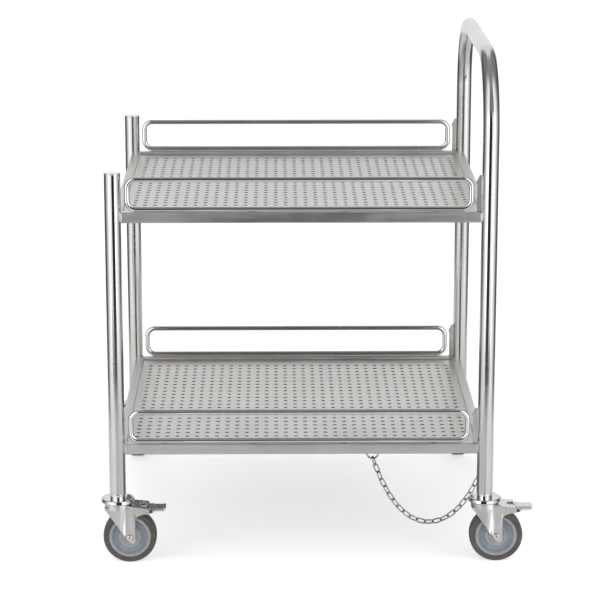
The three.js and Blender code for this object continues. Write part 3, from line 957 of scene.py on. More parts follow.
@dataclass
class TubeFrame:
    """The two short posts with their caps, and the push handle that is the other two legs in one bent tube."""

    finishes: Finishes
    radius: float = 0.015
    wall: float = 0.0015
    bend_radius: float = 0.135
    bend_steps: int = 18
    facets: int = 64
    cap_edge: float = 0.0014
    cap_round: float = 0.0016

    def build(self) -> None:
        """Builds every tube and cap."""
        self._handle()
        for row in Row:
            self._post(row)
            self._cap(row)

    def _walled(self, obj: bpy.types.Object) -> bpy.types.Object:
        """Gives a tube's skin its wall, inwards.

        Args:
            obj: the open skin.

        Returns:
            The same object.
        """
        tidy(obj)
        modify(obj, "SOLIDIFY", thickness=self.wall, offset=-1, use_even_offset=True, use_rim=True)
        return smoothed(obj, 40)

    def _post(self, row: Row) -> None:
        """Builds a short post."""
        node = row.word + "_left_post"
        low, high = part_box(node)
        skin = turned(node + "_tube", [(self.radius, low.z), (self.radius, high.z)], facets=self.facets)
        placed(skin, (middle_of(node).x, middle_of(node).y, 0))
        dressed(self._walled(skin), self.finishes.tube, "frame", [node])

    def _cap(self, row: Row) -> None:
        """Builds the slightly domed cap on a short post."""
        node = row.word + "_left_post_cap"
        low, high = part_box(node)
        outer = (high.x - low.x) / 2
        plug = self.radius - self.wall - GAP
        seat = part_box(row.word + "_left_post")[1].z + GAP
        shoulder = (outer - self.cap_round, seat + self.cap_edge)
        dome = [(outer * share, high.z - (high.z - shoulder[1] - self.cap_round) * share**2) for share in (0.75, 0.5, 0.25)]
        profile = [(0, low.z), (plug - 0.001, low.z), (plug, low.z + 0.001), (plug, seat), (outer - 0.0004, seat), (outer, seat + 0.0004)]
        profile += arc(shoulder, self.cap_round, 0, 80, 5) + dome + [(0, high.z)]
        cap = turned(row.word + "_post_cap", profile, facets=self.facets)
        placed(cap, (middle_of(node).x, middle_of(node).y, 0))
        dressed(smoothed(cap, 50), self.finishes.rod, "frame", [node])

    def _handle(self) -> None:
        """Bends the push handle: up one leg, across the top and down the other leg."""
        low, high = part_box("push_handle")
        x = (low.x + high.x) / 2
        middle = (low.y + high.y) / 2
        leg = (high.y - low.y) / 2 - self.radius
        top = high.z - self.radius
        bend = self.bend_radius
        bpy.ops.object.select_all(action="DESELECT")
        bpy.ops.mesh.primitive_circle_add(vertices=self.facets, radius=self.radius, location=(0, 0, 0))
        handle = placed(added("push_handle_tube"), (x, middle - leg, low.z))
        edit_all(handle)
        pull = bpy.ops.mesh.extrude_region_move
        pull(TRANSFORM_OT_translate={"value": (0, 0, top - bend - low.z)})
        spin = bpy.ops.mesh.spin
        spin(steps=self.bend_steps, angle=math.pi / 2, center=(x, middle - leg + bend, top - bend), axis=(1, 0, 0))
        pull(TRANSFORM_OT_translate={"value": (0, 2 * (leg - bend), 0)})
        spin(steps=self.bend_steps, angle=math.pi / 2, center=(x, middle + leg - bend, top - bend), axis=(1, 0, 0))
        pull(TRANSFORM_OT_translate={"value": (0, 0, low.z - top + bend)})
        dressed(self._walled(handle), self.finishes.tube, "frame", ["push_handle"])


# Trays and what stands on them


@dataclass
class Trays:
    """Two folded pan trays with pressed-through holes, their guard rails, stops and weld seams."""

    finishes: Finishes
    tube_radius: float = 0.015
    rim: float = 0.017
    recess: float = 0.005
    sheet: float = 0.002
    flange: float = 0.013
    fold: float = 0.0022
    fold_steps: int = 3
    columns: int = 34
    rows: int = 22
    pitch_x: float = 0.01867
    pitch_y: float = 0.024
    hole_radius: float = 0.004
    hole_sides: int = 12
    rod: float = 0.005
    rail_corner: float = 0.016
    bead: float = 0.0017

    def build(self) -> None:
        """Builds both trays, the rails and the stops."""
        pattern = self._pan()
        low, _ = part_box("lower_tray")
        for level in Level:
            node = level.value + "_tray"
            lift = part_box(node)[0].z - low.z
            tray = copied(pattern, level.value + "_tray_pan", (0, 0, lift))
            dressed(tray, self.finishes.sheet, "frame", [node])
            self._seams(level)
            for row in Row:
                self._rail(level, row)
                self._stop(level, row)
        bpy.data.objects.remove(pattern)

    def _holes(self, height: float) -> bpy.types.Object:
        """One flat cell with a round hole, repeated over the tray's floor.

        Args:
            height: the floor's height.

        Returns:
            The perforated field, one face thick.
        """
        bpy.ops.object.select_all(action="DESELECT")
        bpy.ops.mesh.primitive_plane_add(size=1, location=(0, 0, 0))
        cell = placed(added("cell"), scale=(self.pitch_x, self.pitch_y, 1))
        edit_all(cell)
        bpy.ops.mesh.delete(type="ONLY_FACE")
        to_object_mode()
        bpy.ops.object.select_all(action="DESELECT")
        bpy.ops.mesh.primitive_circle_add(vertices=self.hole_sides, radius=self.hole_radius, location=(0, 0, 0))
        cell = joined("cell", [cell, added("hole")])
        edit_all(cell)
        bpy.ops.mesh.fill(use_beauty=True)
        to_object_mode()
        for count, step in ((self.columns, (self.pitch_x, 0, 0)), (self.rows, (0, self.pitch_y, 0))):
            modify(
                cell,
                "ARRAY",
                count=count,
                use_relative_offset=False,
                use_constant_offset=True,
                constant_offset_displace=step,
                use_merge_vertices=True,
                merge_threshold=0.00001,
            )
        middle = middle_of("lower_tray")
        corner_x = middle.x - (self.columns - 1) / 2 * self.pitch_x
        corner_y = middle.y - (self.rows - 1) / 2 * self.pitch_y
        return placed(cell, (corner_x, corner_y, height))

    def _shell(self, low: Vector, high: Vector) -> bpy.types.Object:
        """Folds the rim, walls and turned-in edges from one flat rectangle.

        Args:
            low: the tray's lowest corner.
            high: its highest corner.

        Returns:
            The shell without its floor, one face thick.
        """
        middle, size = (low + high) / 2, high - low
        bpy.ops.object.select_all(action="DESELECT")
        bpy.ops.mesh.primitive_plane_add(size=1, location=(0, 0, 0))
        shell = placed(added("tray_shell"), (middle.x, middle.y, high.z), scale=(size.x, size.y, 1))
        edit_all(shell)
        bpy.ops.mesh.select_mode(type="FACE")
        bpy.ops.mesh.inset(thickness=self.rim, depth=0)
        bpy.ops.mesh.extrude_region_move(TRANSFORM_OT_translate={"value": (0, 0, -self.recess)})
        on_edge = lambda at, _: max(abs(at.x - middle.x) - size.x / 2, abs(at.y - middle.y) - size.y / 2) > -1e-6
        choose(shell, Pick.EDGES, on_edge)
        bpy.ops.mesh.extrude_region_move(TRANSFORM_OT_translate={"value": (0, 0, -size.z)})
        bpy.ops.mesh.extrude_region_move(TRANSFORM_OT_translate={"value": (0, 0, 0)})
        inner = [(s - 2 * self.flange) / s for s in (size.x, size.y)]
        bpy.ops.transform.resize(value=(*inner, 1), center_override=(middle.x, middle.y, low.z))
        folds = (high.z, high.z - self.recess, low.z)
        inside = lambda at: abs(at.z - low.z) < 1e-6 and not on_edge(at, at)
        flat = lambda at, way: abs(way.z) < 1e-3 and any(abs(at.z - z) < 1e-6 for z in folds) and not inside(at)
        square = lambda at, way: flat(at, way) and max(abs(way.x), abs(way.y)) > 0.999
        choose(shell, Pick.EDGES, square)
        bpy.ops.mesh.bevel(offset=self.fold, segments=self.fold_steps, affect="EDGES", clamp_overlap=True)
        floor = lambda at, _: abs(at.z - high.z + self.recess) < 1e-6 and (at.xy - middle.xy).length < 0.02
        choose(shell, Pick.FACES, floor)
        bpy.ops.mesh.delete(type="FACE")
        to_object_mode()
        return shell

    def _pan(self) -> bpy.types.Object:
        """Joins shell and perforated floor, gives the sheet its thickness and notches the corners for the legs.

        Returns:
            One finished pan, at the lower tray's place.
        """
        low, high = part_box("lower_tray")
        middle = (low + high) / 2
        floor = high.z - self.recess
        half = (self.columns * self.pitch_x / 2, self.rows * self.pitch_y / 2)
        pan = joined("tray_pan", [self._shell(low, high), self._holes(floor)])
        edit_all(pan)
        bpy.ops.mesh.select_mode(type="EDGE")
        bpy.ops.mesh.select_all(action="DESELECT")
        bpy.ops.mesh.select_non_manifold(use_wire=False, use_boundary=True, use_multi_face=False)
        to_object_mode()
        open_edges = {edge.index for edge in pan.data.edges if edge.select}
        for edge in pan.data.edges:
            a, b = (pan.data.vertices[i].co for i in edge.vertices)
            at = (a + b) / 2 - middle
            outside = abs(at.x) > half[0] - 1e-5 or abs(at.y) > half[1] - 1e-5
            edge.select = edge.index in open_edges and outside and abs((a.z + b.z) / 2 - floor) < 1e-6
        for group in (pan.data.vertices, pan.data.polygons):
            group.foreach_set("select", [False] * len(group))
        bpy.context.tool_settings.mesh_select_mode = Pick.EDGES.value
        bpy.ops.object.mode_set(mode="EDIT")
        bpy.ops.mesh.fill(use_beauty=True)
        tidy(pan)
        modify(pan, "SOLIDIFY", thickness=self.sheet, offset=-1, use_even_offset=True, use_rim=True)
        posts = []
        for x in (low.x, high.x):
            for y in (low.y, high.y):
                cutter = rod("notch", self.tube_radius + GAP, low.z - 0.01, high.z + 0.01, Axis.UP, 64)
                posts.append(placed(cutter, (x, y, 0)))
        combine(pan, [joined("notches", posts)], "DIFFERENCE")
        # paints shade on the hole walls and on the lower faces
        self._mark_hole_walls(pan, floor)
        return flat_shaded(pan)

    def _mark_hole_walls(self, pan: bpy.types.Object, floor: float) -> None:
        """Paints shade on the walls of the holes and on the sheet's lower faces: each gets a darker finish that stands
        for the shade there.

        Args:
            pan: the pan.
            floor: the height of its floor.
        """
        pan.data.materials.append(self.finishes.sheet)
        pan.data.materials.append(self.finishes.hole_wall_shade)
        pan.data.materials.append(self.finishes.shaded_underside)
        middle = middle_of("lower_tray")
        half = (self.columns * self.pitch_x / 2, self.rows * self.pitch_y / 2)
        for face in pan.data.polygons:
            at = face.center - middle
            within = abs(at.x) < half[0] and abs(at.y) < half[1] and floor - self.sheet < face.center.z < floor
            # the holes' walls take the near black finish: painted shade
            wall = within and abs(face.normal.z) < 0.3
            # faces that look down take the darker finish: painted shade under the tray
            face.material_index = 1 if wall else 2 if face.normal.z < -0.7 else 0

    def _seams(self, level: Level) -> None:
        """The short upright weld seams where the tray meets the legs."""
        low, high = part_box(level.value + "_tray")
        length = (high.z - low.z) * 0.9
        height = (high.z + low.z) / 2
        first = weld_bead("seam", length, self.bead)
        beads = []
        for x, inward_x in ((low.x, 1), (high.x, -1)):
            for y, inward_y in ((low.y, 1), (high.y, -1)):
                beads.append(copied(first, "seam_a", (x + inward_x * self.tube_radius, y + inward_y * self.bead * 0.2, height)))
                beads.append(copied(first, "seam_b", (x + inward_x * self.bead * 0.2, y + inward_y * self.tube_radius, height)))
        bpy.data.objects.remove(first)
        seams = joined(level.value + "_tray_weld_seams", beads)
        dressed(smoothed(seams, 50), self.finishes.weld, "frame")

    def _rail(self, level: Level, row: Row) -> None:
        """A guard rail: one closed loop of rod with tack welds along its foot."""
        node = f"{level.value}_{row.word}_rail"
        low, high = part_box(node)
        middle = (low + high) / 2
        half_long = (high.x - low.x) / 2 - self.rod
        half_high = (high.z - low.z) / 2 - self.rod
        rail = loop_of_rod(node + "_rod", half_long, half_high, self.rail_corner, self.rod, 64, 20)
        placed(rail, turn=(math.pi / 2, 0, 0))
        placed(rail, middle)
        dressed(smoothed(rail, 60), self.finishes.rod, "frame", [node])
        tack = placed(weld_bead("tack", 0.012, 0.0016), turn=Axis.ALONG_X.value)
        tacks = []
        for share in (-0.8, -0.27, 0.27, 0.8):
            spot = (middle.x + share * half_long, middle.y - row.value * self.rod * 0.55, low.z + 0.0014)
            tacks.append(copied(tack, "tack_weld", spot))
        bpy.data.objects.remove(tack)
        dressed(smoothed(joined(node + "_tacks", tacks), 50), self.finishes.weld, "frame")

    def _stop(self, level: Level, row: Row) -> None:
        """The flat stop beside the handle's leg, with a barb below its chamfered top."""
        node = f"{level.value}_{row.word}_stop"
        low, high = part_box(node)
        barb, drop, top = 0.0018, 0.015, 0.0032
        face = low.x + barb
        shoulder = high.z - drop
        stop = block(node + "_plate", (face, low.y, low.z), high)
        for height in (shoulder - barb, shoulder, shoulder + barb):
            score(stop, (0, 0, height), (0, 0, 1))
        on_face = lambda at: abs(at.x - face) < 1e-6
        shift(stop, (-barb, 0, 0), lambda at, _: on_face(at) and shoulder - 1e-6 < at.z < shoulder + barb + 1e-6)
        shift(stop, (high.x - top - face, 0, 0), lambda at, _: on_face(at) and at.z > high.z - 1e-6)
        rounded(stop, 0.0004)
        dressed(flat_shaded(stop), self.finishes.pressed, "frame", [node])


# Casters


@dataclass
class Casters:
    """Four swivel casters with brakes: each piece is modelled once at the leg's axis and copied to the corners."""

    finishes: Finishes
    trail: float = 0.022
    wheel_radius: float = 0.05
    tread: float = 0.03
    cheek_inner: float = 0.018
    cheek_outer: float = 0.021
    crown_top: float = 0.1085
    crown_under: float = 0.104
    race_top: float = 0.114
    foot_radius: float = 0.0107
    arm_tip: float = 0.069
    slope_start: float = 0.030
    slope: float = 0.0038 / 0.0374
    pin: tuple[float, float] = (0.062, 0.1019)
    pin_bore: float = 0.0023
    plate_end: float = 0.057
    slot: float = 0.0485
    back_turn: float = math.pi / 2
    # where the crease is scored along the cheek, each place with the strength of the painted highlight there
    crease: Profile = ((0.0025, 0.0), (0.0070, 0.8), (0.0110, 1.0), (0.0140, 1.0), (0.0155, 0.0))

    def build(self) -> None:
        """Models the pieces and sets a copy of each at every corner."""
        f = self.finishes
        patterns = [
            ("stem", self._stem(), f.rod, "frame", "polished_rod"),
            ("swivel_cap", self._swivel_cap(), f.cap, "frame", "polished_rod"),
            ("fork", self._fork(), f.pressed, "fork", "pressed_steel"),
            ("brake_plate", self._brake_plate(), f.brake, "fork", "brake_steel"),
            ("slot_lip", self._slot_lip(), f.rod, "fork", "brake_steel"),
            ("brake_pedal", self._brake_pedal(), f.brake, "pedal", "brake_steel"),
            # the rivet's near black colour is painted shade at the pin
            ("pedal_pin", self._pedal_pin(), f.rivet, "fork", "polished_rod"),
            ("axle_bolt", self._axle_bolt(), f.pressed, "fork", "polished_rod"),
            ("axle_nut", self._axle_nut(), f.rod, "fork", "polished_rod"),
            ("wheel_core", self._wheel_core(), f.core, "wheel", "wheel_plastic"),
            ("tyre", self._tyre(), f.tyre, "wheel", "tyre_rubber"),
        ]
        for corner in CORNERS:
            leg = middle_of(corner + "_stem")
            for word, pattern, material, body, slot in patterns:
                piece = copied(pattern, f"{corner}_caster_{word}")
                placed(piece, turn=(0, 0, self.back_turn if corner.startswith("back") else 0))
                placed(piece, (leg.x, leg.y, 0))
                rides_on = body if body == "frame" else f"{corner}_{body}"
                stands_for = [] if word == "slot_lip" else [f"{corner}_{word}"]
                dressed(piece, material, rides_on, stands_for)
        for _, pattern, *_ in patterns:
            bpy.data.objects.remove(pattern)

    def _stem(self) -> bpy.types.Object:
        """Kingpin, neck, polished collar and the plug inside the leg, turned in one piece."""
        collar = 0.0140
        profile = [(0, 0.1015), (0.0078, 0.1015), (0.009, 0.1022), (0.009, 0.1037), (0.006, 0.1037), (0.006, 0.1143)]
        profile += [(0.0132, 0.1143), (0.0132, 0.1213), (0.0136, 0.1213)]
        profile += arc((collar - 0.0012, 0.1226), 0.0012, -70, 0, 4)
        profile += [(collar, 0.1262), (collar - 0.0005, 0.1265), (collar - 0.0005, 0.1269), (collar, 0.1272)]
        profile += arc((collar - 0.0012, 0.1304), 0.0012, 0, 90, 4)
        profile += [(0.0128, 0.1317), (0.0128, 0.1705), (0.0116, 0.1717), (0, 0.1717)]
        return smoothed(turned("stem", profile, facets=72), 40)

    def _swivel_cap(self) -> bpy.types.Object:
        """The flat, polished dust cap of the swivel bearing, with a rounded edge and an upright side."""
        bore, side = 0.0135, 0.03125
        profile = [(bore, 0.1143), (0.0264, 0.1143), (0.0274, 0.1148), (0.0282, 0.1160), (0.0294, 0.1168)]
        profile += arc((side - 0.0010, 0.1178), 0.0010, -75, 8, 5)
        profile += [(side - 0.0001, 0.1184), (side - 0.0005, 0.1198), (side - 0.0010, 0.1213)]
        profile += arc((side - 0.0032, 0.12145), 0.0022, 20, 90, 8)
        profile += [(0.0272, 0.12345), (0.0262, 0.1234), (0.0200, 0.12345), (bore, 0.1235), (bore, 0.1143)]
        cap = turned("swivel_cap", profile, facets=96)
        return flat_shaded(cap, 40)

    def _cheek(self) -> bpy.types.Object:
        """One cheek of the fork with its brake arm, as a flat plate from y 0 up to its thickness."""
        thick = self.cheek_outer - self.cheek_inner
        back = self.trail + self.foot_radius
        foot = self.wheel_radius - self.foot_radius
        main = block("cheek", (-0.024, 0, foot), (back, thick, self.crown_top))
        slope = Vector((0.0470, 0, 0.0690)).normalized()
        cut(main, (-0.024, 0, self.crown_top - 0.0015), (-slope.z, 0, -slope.x))
        low_edges = lambda at, way: abs(way.y) > 0.99 and at.z < foot + 1e-5
        choose(main, Pick.EDGES, low_edges)
        bpy.ops.mesh.bevel(offset=self.foot_radius * 0.93, segments=10, affect="EDGES", clamp_overlap=True)
        to_object_mode()
        root, tip = self.crown_top - 0.0122, self.crown_top - 0.0076
        arm = block("arm", (back - 0.012, 0, root), (self.arm_tip, thick, self.crown_top))
        cut(arm, (self.arm_tip, 0, tip), (tip - root, 0, -0.0133))
        combine(main, [arm], "UNION")
        cut(main, (self.slope_start, 0, self.crown_top), (self.slope, 0, 1))
        cut(main, (self.arm_tip, 0, self.crown_top - 0.0054), (1, 0, 1))
        narrow = 0.0122 / 0.023
        placed(main, scale=(narrow, 1, 1))
        inner_corner = lambda at, way: abs(way.y) > 0.99 and abs(at.x - back * narrow) < 1e-5 and abs(at.z - root) < 1e-4
        if choose(main, Pick.EDGES, inner_corner):
            bpy.ops.mesh.bevel(offset=0.0118, segments=10, affect="EDGES", clamp_overlap=True)
        to_object_mode()
        return placed(main, scale=(1 / narrow, 1, 1))

    def _fork(self) -> bpy.types.Object:
        """The pressed fork: crown, two cheeks with arms, a stepped crease, and the ball race on top."""
        thick = self.cheek_outer - self.cheek_inner
        cheek = self._cheek()
        near = copied(cheek, "near_cheek", (0, -self.cheek_outer, 0))
        far = placed(cheek, (0, self.cheek_inner, 0))
        self._crease(near, -1)
        self._crease(far, 1)
        half = self.cheek_inner + thick * 0.5
        fork = block("fork", (-0.024, -half, self.crown_under), (0.030, half, self.crown_top))
        race = turned("race", [(0, self.crown_under + 0.0002), (0.0250, self.crown_under + 0.0002)] + arc((0.0236, self.race_top - 0.0014), 0.0014, 0, 90, 4) + [(0, self.race_top)])
        combine(fork, [near, far, race], "UNION")
        bore = rod("bore", 0.0063, 0.1, 0.12, Axis.UP)
        axle = placed(rod("axle", 0.0053, -0.03, 0.03, Axis.ALONG_Y), (self.trail, 0, self.wheel_radius))
        pin = placed(rod("pin", self.pin_bore, -0.03, 0.03, Axis.ALONG_Y), (self.pin[0], 0, self.pin[1]))
        combine(fork, [bore, axle, pin], "DIFFERENCE")
        tidy(fork, 0.00001)
        rounded(fork, 0.0005, 2, 40)
        # paints the highlight stripe along the crease
        self._painted_highlight(fork)
        return flat_shaded(fork)

    def _crease(self, cheek: bpy.types.Object, side: int) -> None:
        """Presses the rear part of a cheek's outer face slightly inwards, along an upright crease."""
        for x, _ in self.crease:
            score(cheek, (x, 0, 0), (1, 0, 0))
        for start, step in ((self.crease[-2][0] - 0.0002, 0.0002), (self.crease[-1][0] - 0.0002, 0.0005)):
            behind = lambda at, _: at.x > start and self.cheek_outer - abs(at.y) < 0.0005
            shift(cheek, (0, -side * step, 0), behind)

    def _painted_highlight(self, fork: bpy.types.Object) -> None:
        """Paints a highlight stripe along the crease, as a point attribute that the pressed finish mixes towards near
        white.
        """
        shine = fork.data.attributes.new(PAINTED_HIGHLIGHT, "FLOAT", "POINT")
        for point, item in zip(fork.data.vertices, shine.data):
            if abs(point.co.y) < self.cheek_inner + 0.001:
                continue
            for (x0, v0), (x1, v1) in zip(self.crease, self.crease[1:]):
                if x0 <= point.co.x <= x1:
                    item.value = v0 + (v1 - v0) * (point.co.x - x0) / (x1 - x0)

    def _brake_plate(self) -> bpy.types.Object:
        """The spring plate of the brake: a broad tongue bent down along the arms, with an oval hole."""
        low, high = (0.0125, -0.024, 0.1088), (self.plate_end, 0.024, 0.1113)
        plate = block("brake_plate", low, high)
        score(plate, (self.slope_start, 0, 0), (1, 0, 0))
        fall = self.slope * (self.plate_end - self.slope_start)
        shift(plate, (0, 0, -fall), lambda at, _: at.x > self.plate_end - 1e-5)
        for side in (-1, 1):
            cut(plate, (0.030, side * 0.024, 0), (-0.5, side, 0))
        race = rod("race_gap", 0.0253, 0.1, 0.12, Axis.UP, 64)
        hole = placed(rod("oval", 1, 0.1, 0.12, Axis.UP, 32), (self.slot, 0, 0), scale=(0.0065, 0.0095, 1))
        combine(plate, [race, hole], "DIFFERENCE")
        tidy(plate, 0.00001)
        rounded(plate, 0.0006, 3, 40)
        return flat_shaded(plate)

    def _slot_lip(self) -> bpy.types.Object:
        """The raised bright lip round the brake plate's oval hole."""
        wire = 0.0011
        lip = loop_of_rod("slot_lip", 0.0062, 0.0092, 0.0062, wire, 40, 12)
        height = 0.1113 - self.slope * (self.slot - self.slope_start)
        return smoothed(placed(lip, (self.slot, 0, height), turn=(0, math.atan(self.slope), 0)), 60)

    def _brake_pedal(self) -> bpy.types.Object:
        """The toe pedal on its barrel, a thick plate with rounded corners and edges."""
        x, z = self.pin
        wide, under, reach = 0.014, z + 0.0013, 0.0895
        top = under + 0.0038
        toe = block("brake_pedal", (x - 0.0038, -wide, under), (reach, wide, top))
        tips = lambda at, way: abs(way.z) > 0.99 and at.x > reach - 1e-5
        choose(toe, Pick.EDGES, tips)
        bpy.ops.mesh.bevel(offset=0.0045, segments=6, affect="EDGES")
        to_object_mode()
        sides = lambda at, way: abs(way.x) > 0.99 and at.z > top - 1e-5
        choose(toe, Pick.EDGES, sides)
        bpy.ops.mesh.bevel(offset=0.0026, segments=5, affect="EDGES")
        to_object_mode()
        barrel = placed(rod("barrel", 0.0046, -0.0177, 0.0177, Axis.ALONG_Y, 40), (x, 0, z))
        skirt = block("skirt", (x + 0.0042, -wide, under - 0.0028), (reach - 0.0016, wide, under + 0.001))
        hollow = block("hollow", (x, -wide + 0.0016, under - 0.006), (reach - 0.0032, wide - 0.0016, under))
        combine(skirt, [hollow], "DIFFERENCE")
        cut(skirt, (reach - 0.0016, 0, under - 0.0006), (1, 0, -1.6))
        web = block("web", (x - 0.0036, -wide + 0.0004, z), (x + 0.0046, wide - 0.0004, under + 0.0012))
        lobe = block("lobe", (x - 0.009, -0.010, z - 0.0035), (x, 0.010, z + 0.001))
        combine(toe, [skirt, barrel, web, lobe], "UNION")
        hole = placed(rod("pin_hole", self.pin_bore, -0.03, 0.03, Axis.ALONG_Y), (x, 0, z))
        combine(toe, [hole], "DIFFERENCE")
        tidy(toe, 0.00001)
        rounded(toe, 0.0009, 3, 40)
        return flat_shaded(toe)

    def _pedal_pin(self) -> bpy.types.Object:
        """The pedal's rivet with a low round head at either end."""
        reach, head = self.cheek_outer + GAP, 0.0012
        profile = [(0, -reach - head), (0.0021, -reach - head), (0.0032, -reach - head * 0.45), (0.0032, -reach), (0.002, -reach)]
        profile += [(r, -h) for r, h in reversed(profile)]
        pin = turned("pedal_pin", profile, Axis.ALONG_Y, 32)
        return placed(smoothed(pin, 40), (self.pin[0], 0, self.pin[1]))

    def _axle_bolt(self) -> bpy.types.Object:
        """The axle bolt: a low domed head, dimpled in its middle, and a thread on the other end."""
        seat, head = self.cheek_outer + GAP, 0.003
        profile = [(0, -seat - head), (0.0022, -seat - head), (0.0035, -seat - head * 0.97)]
        profile += [(0.0047, -seat - head * 0.86), (0.0056, -seat - head * 0.66)]
        profile += [(0.0062, -seat - head * 0.36), (0.0065, -seat), (0.005, -seat), (0.005, seat + 0.006)]
        for i in range(4):
            start = seat + 0.0062 + i * 0.0004
            profile += [(0.005, start), (0.00465, start + 0.0002)]
        profile += [(0.0044, seat + 0.008), (0, seat + 0.008)]
        bolt = turned("axle_bolt", profile, Axis.ALONG_Y, 48)
        notches = [block("notch", (x - 0.0007, -seat - head, -0.0016), (x + 0.0007, -seat - head * 0.25, 0.0016)) for x in (-0.0058, 0.0058)]
        mark = placed(rod("mark", 0.0019, -seat - head - 0.001, -seat - 0.0002, Axis.ALONG_Y, 6), (0, 0, 0.0026))
        combine(bolt, [*notches, mark], "DIFFERENCE")
        return placed(smoothed(bolt, 40), (self.trail, 0, self.wheel_radius))

    def _axle_nut(self) -> bpy.types.Object:
        """The locking nut: a chamfered hexagon with a round collar."""
        start, across = self.cheek_outer + GAP, 0.008
        corner = across / math.cos(math.pi / 6)
        nut = turned("axle_nut", [(0, start), (corner, start), (corner, start + 0.0045), (0, start + 0.0045)], Axis.ALONG_Y, 6)
        cone = turned("cone", [(0, start - 0.001), (corner * 1.04, start - 0.001), (corner * 1.04, start + 0.0034), (across * 0.95, start + 0.0047), (0, start + 0.0047)], Axis.ALONG_Y, 48)
        modify(nut, "BOOLEAN", object=cone, operation="INTERSECT", solver="EXACT")
        bpy.data.objects.remove(cone)
        collar = turned("collar", [(0, start + 0.001)] + [(0.0072, start + 0.001), (0.0072, start + 0.0055)] + arc((0.0062, start + 0.0055), 0.001, 0, 90, 4) + [(0, start + 0.0065)], Axis.ALONG_Y, 48)
        combine(nut, [collar], "UNION")
        bore = rod("bore", 0.0053, 0.015, 0.04, Axis.ALONG_Y)
        combine(nut, [bore], "DIFFERENCE")
        rounded(nut, 0.0002, 2, 40)
        return placed(smoothed(nut, 35), (self.trail, 0, self.wheel_radius))

    def _wheel_core(self) -> bpy.types.Object:
        """The moulded wheel centre: a light rim lip, a dished web with a step, and a hub ring with a boss."""
        side = [(0.0053, 0.0177), (0.0118, 0.0177), (0.0127, 0.0168), (0.0127, 0.0142), (0.0196, 0.0142), (0.0205, 0.0133)]
        side += [(0.0209, 0.0072), (0.0222, 0.0060), (0.0302, 0.0060), (0.0318, 0.0074), (0.0331, 0.0122), (0.0341, 0.0136)]
        side += [(0.0385, 0.0140), (0.0393, 0.0134)]
        profile = [(r, -y) for r, y in side] + [(r, y) for r, y in reversed(side)]
        profile.append(profile[0])
        core = smoothed(turned("wheel_core", profile, Axis.ALONG_Y, 96), 28)
        core.data.materials.append(self.finishes.core)
        core.data.materials.append(self.finishes.lip)
        for face in core.data.polygons:
            reach = math.hypot(face.center.x, face.center.z)
            outside = abs(face.center.y) > 0.0112
            face.material_index = int(outside and (reach > 0.0328 or reach < 0.0208))
        return placed(core, (self.trail, 0, self.wheel_radius))

    def _tyre(self) -> bpy.types.Object:
        """The solid tyre: slightly crowned tread, rounded shoulders and a shallow sunken line on the side walls."""
        half, inner, outer = self.tread / 2, 0.0396, self.wheel_radius
        side = [(inner, half - 0.0008), (inner + 0.0008, half), (0.0422, half), (0.0427, half - 0.0005), (0.0434, half - 0.0005), (0.0439, half)]
        side += arc((outer - 0.0050, half - 0.0046), 0.0046, 88, 8, 7)
        side += [(outer - 0.0001, half * 0.45), (outer, half * 0.2)]
        profile = [(r, -y) for r, y in side] + [(r, y) for r, y in reversed(side)]
        profile.append(profile[0])
        tyre = smoothed(turned("tyre", profile, Axis.ALONG_Y, 128), 40)
        return placed(tyre, (self.trail, 0, self.wheel_radius))


# Earthing chain


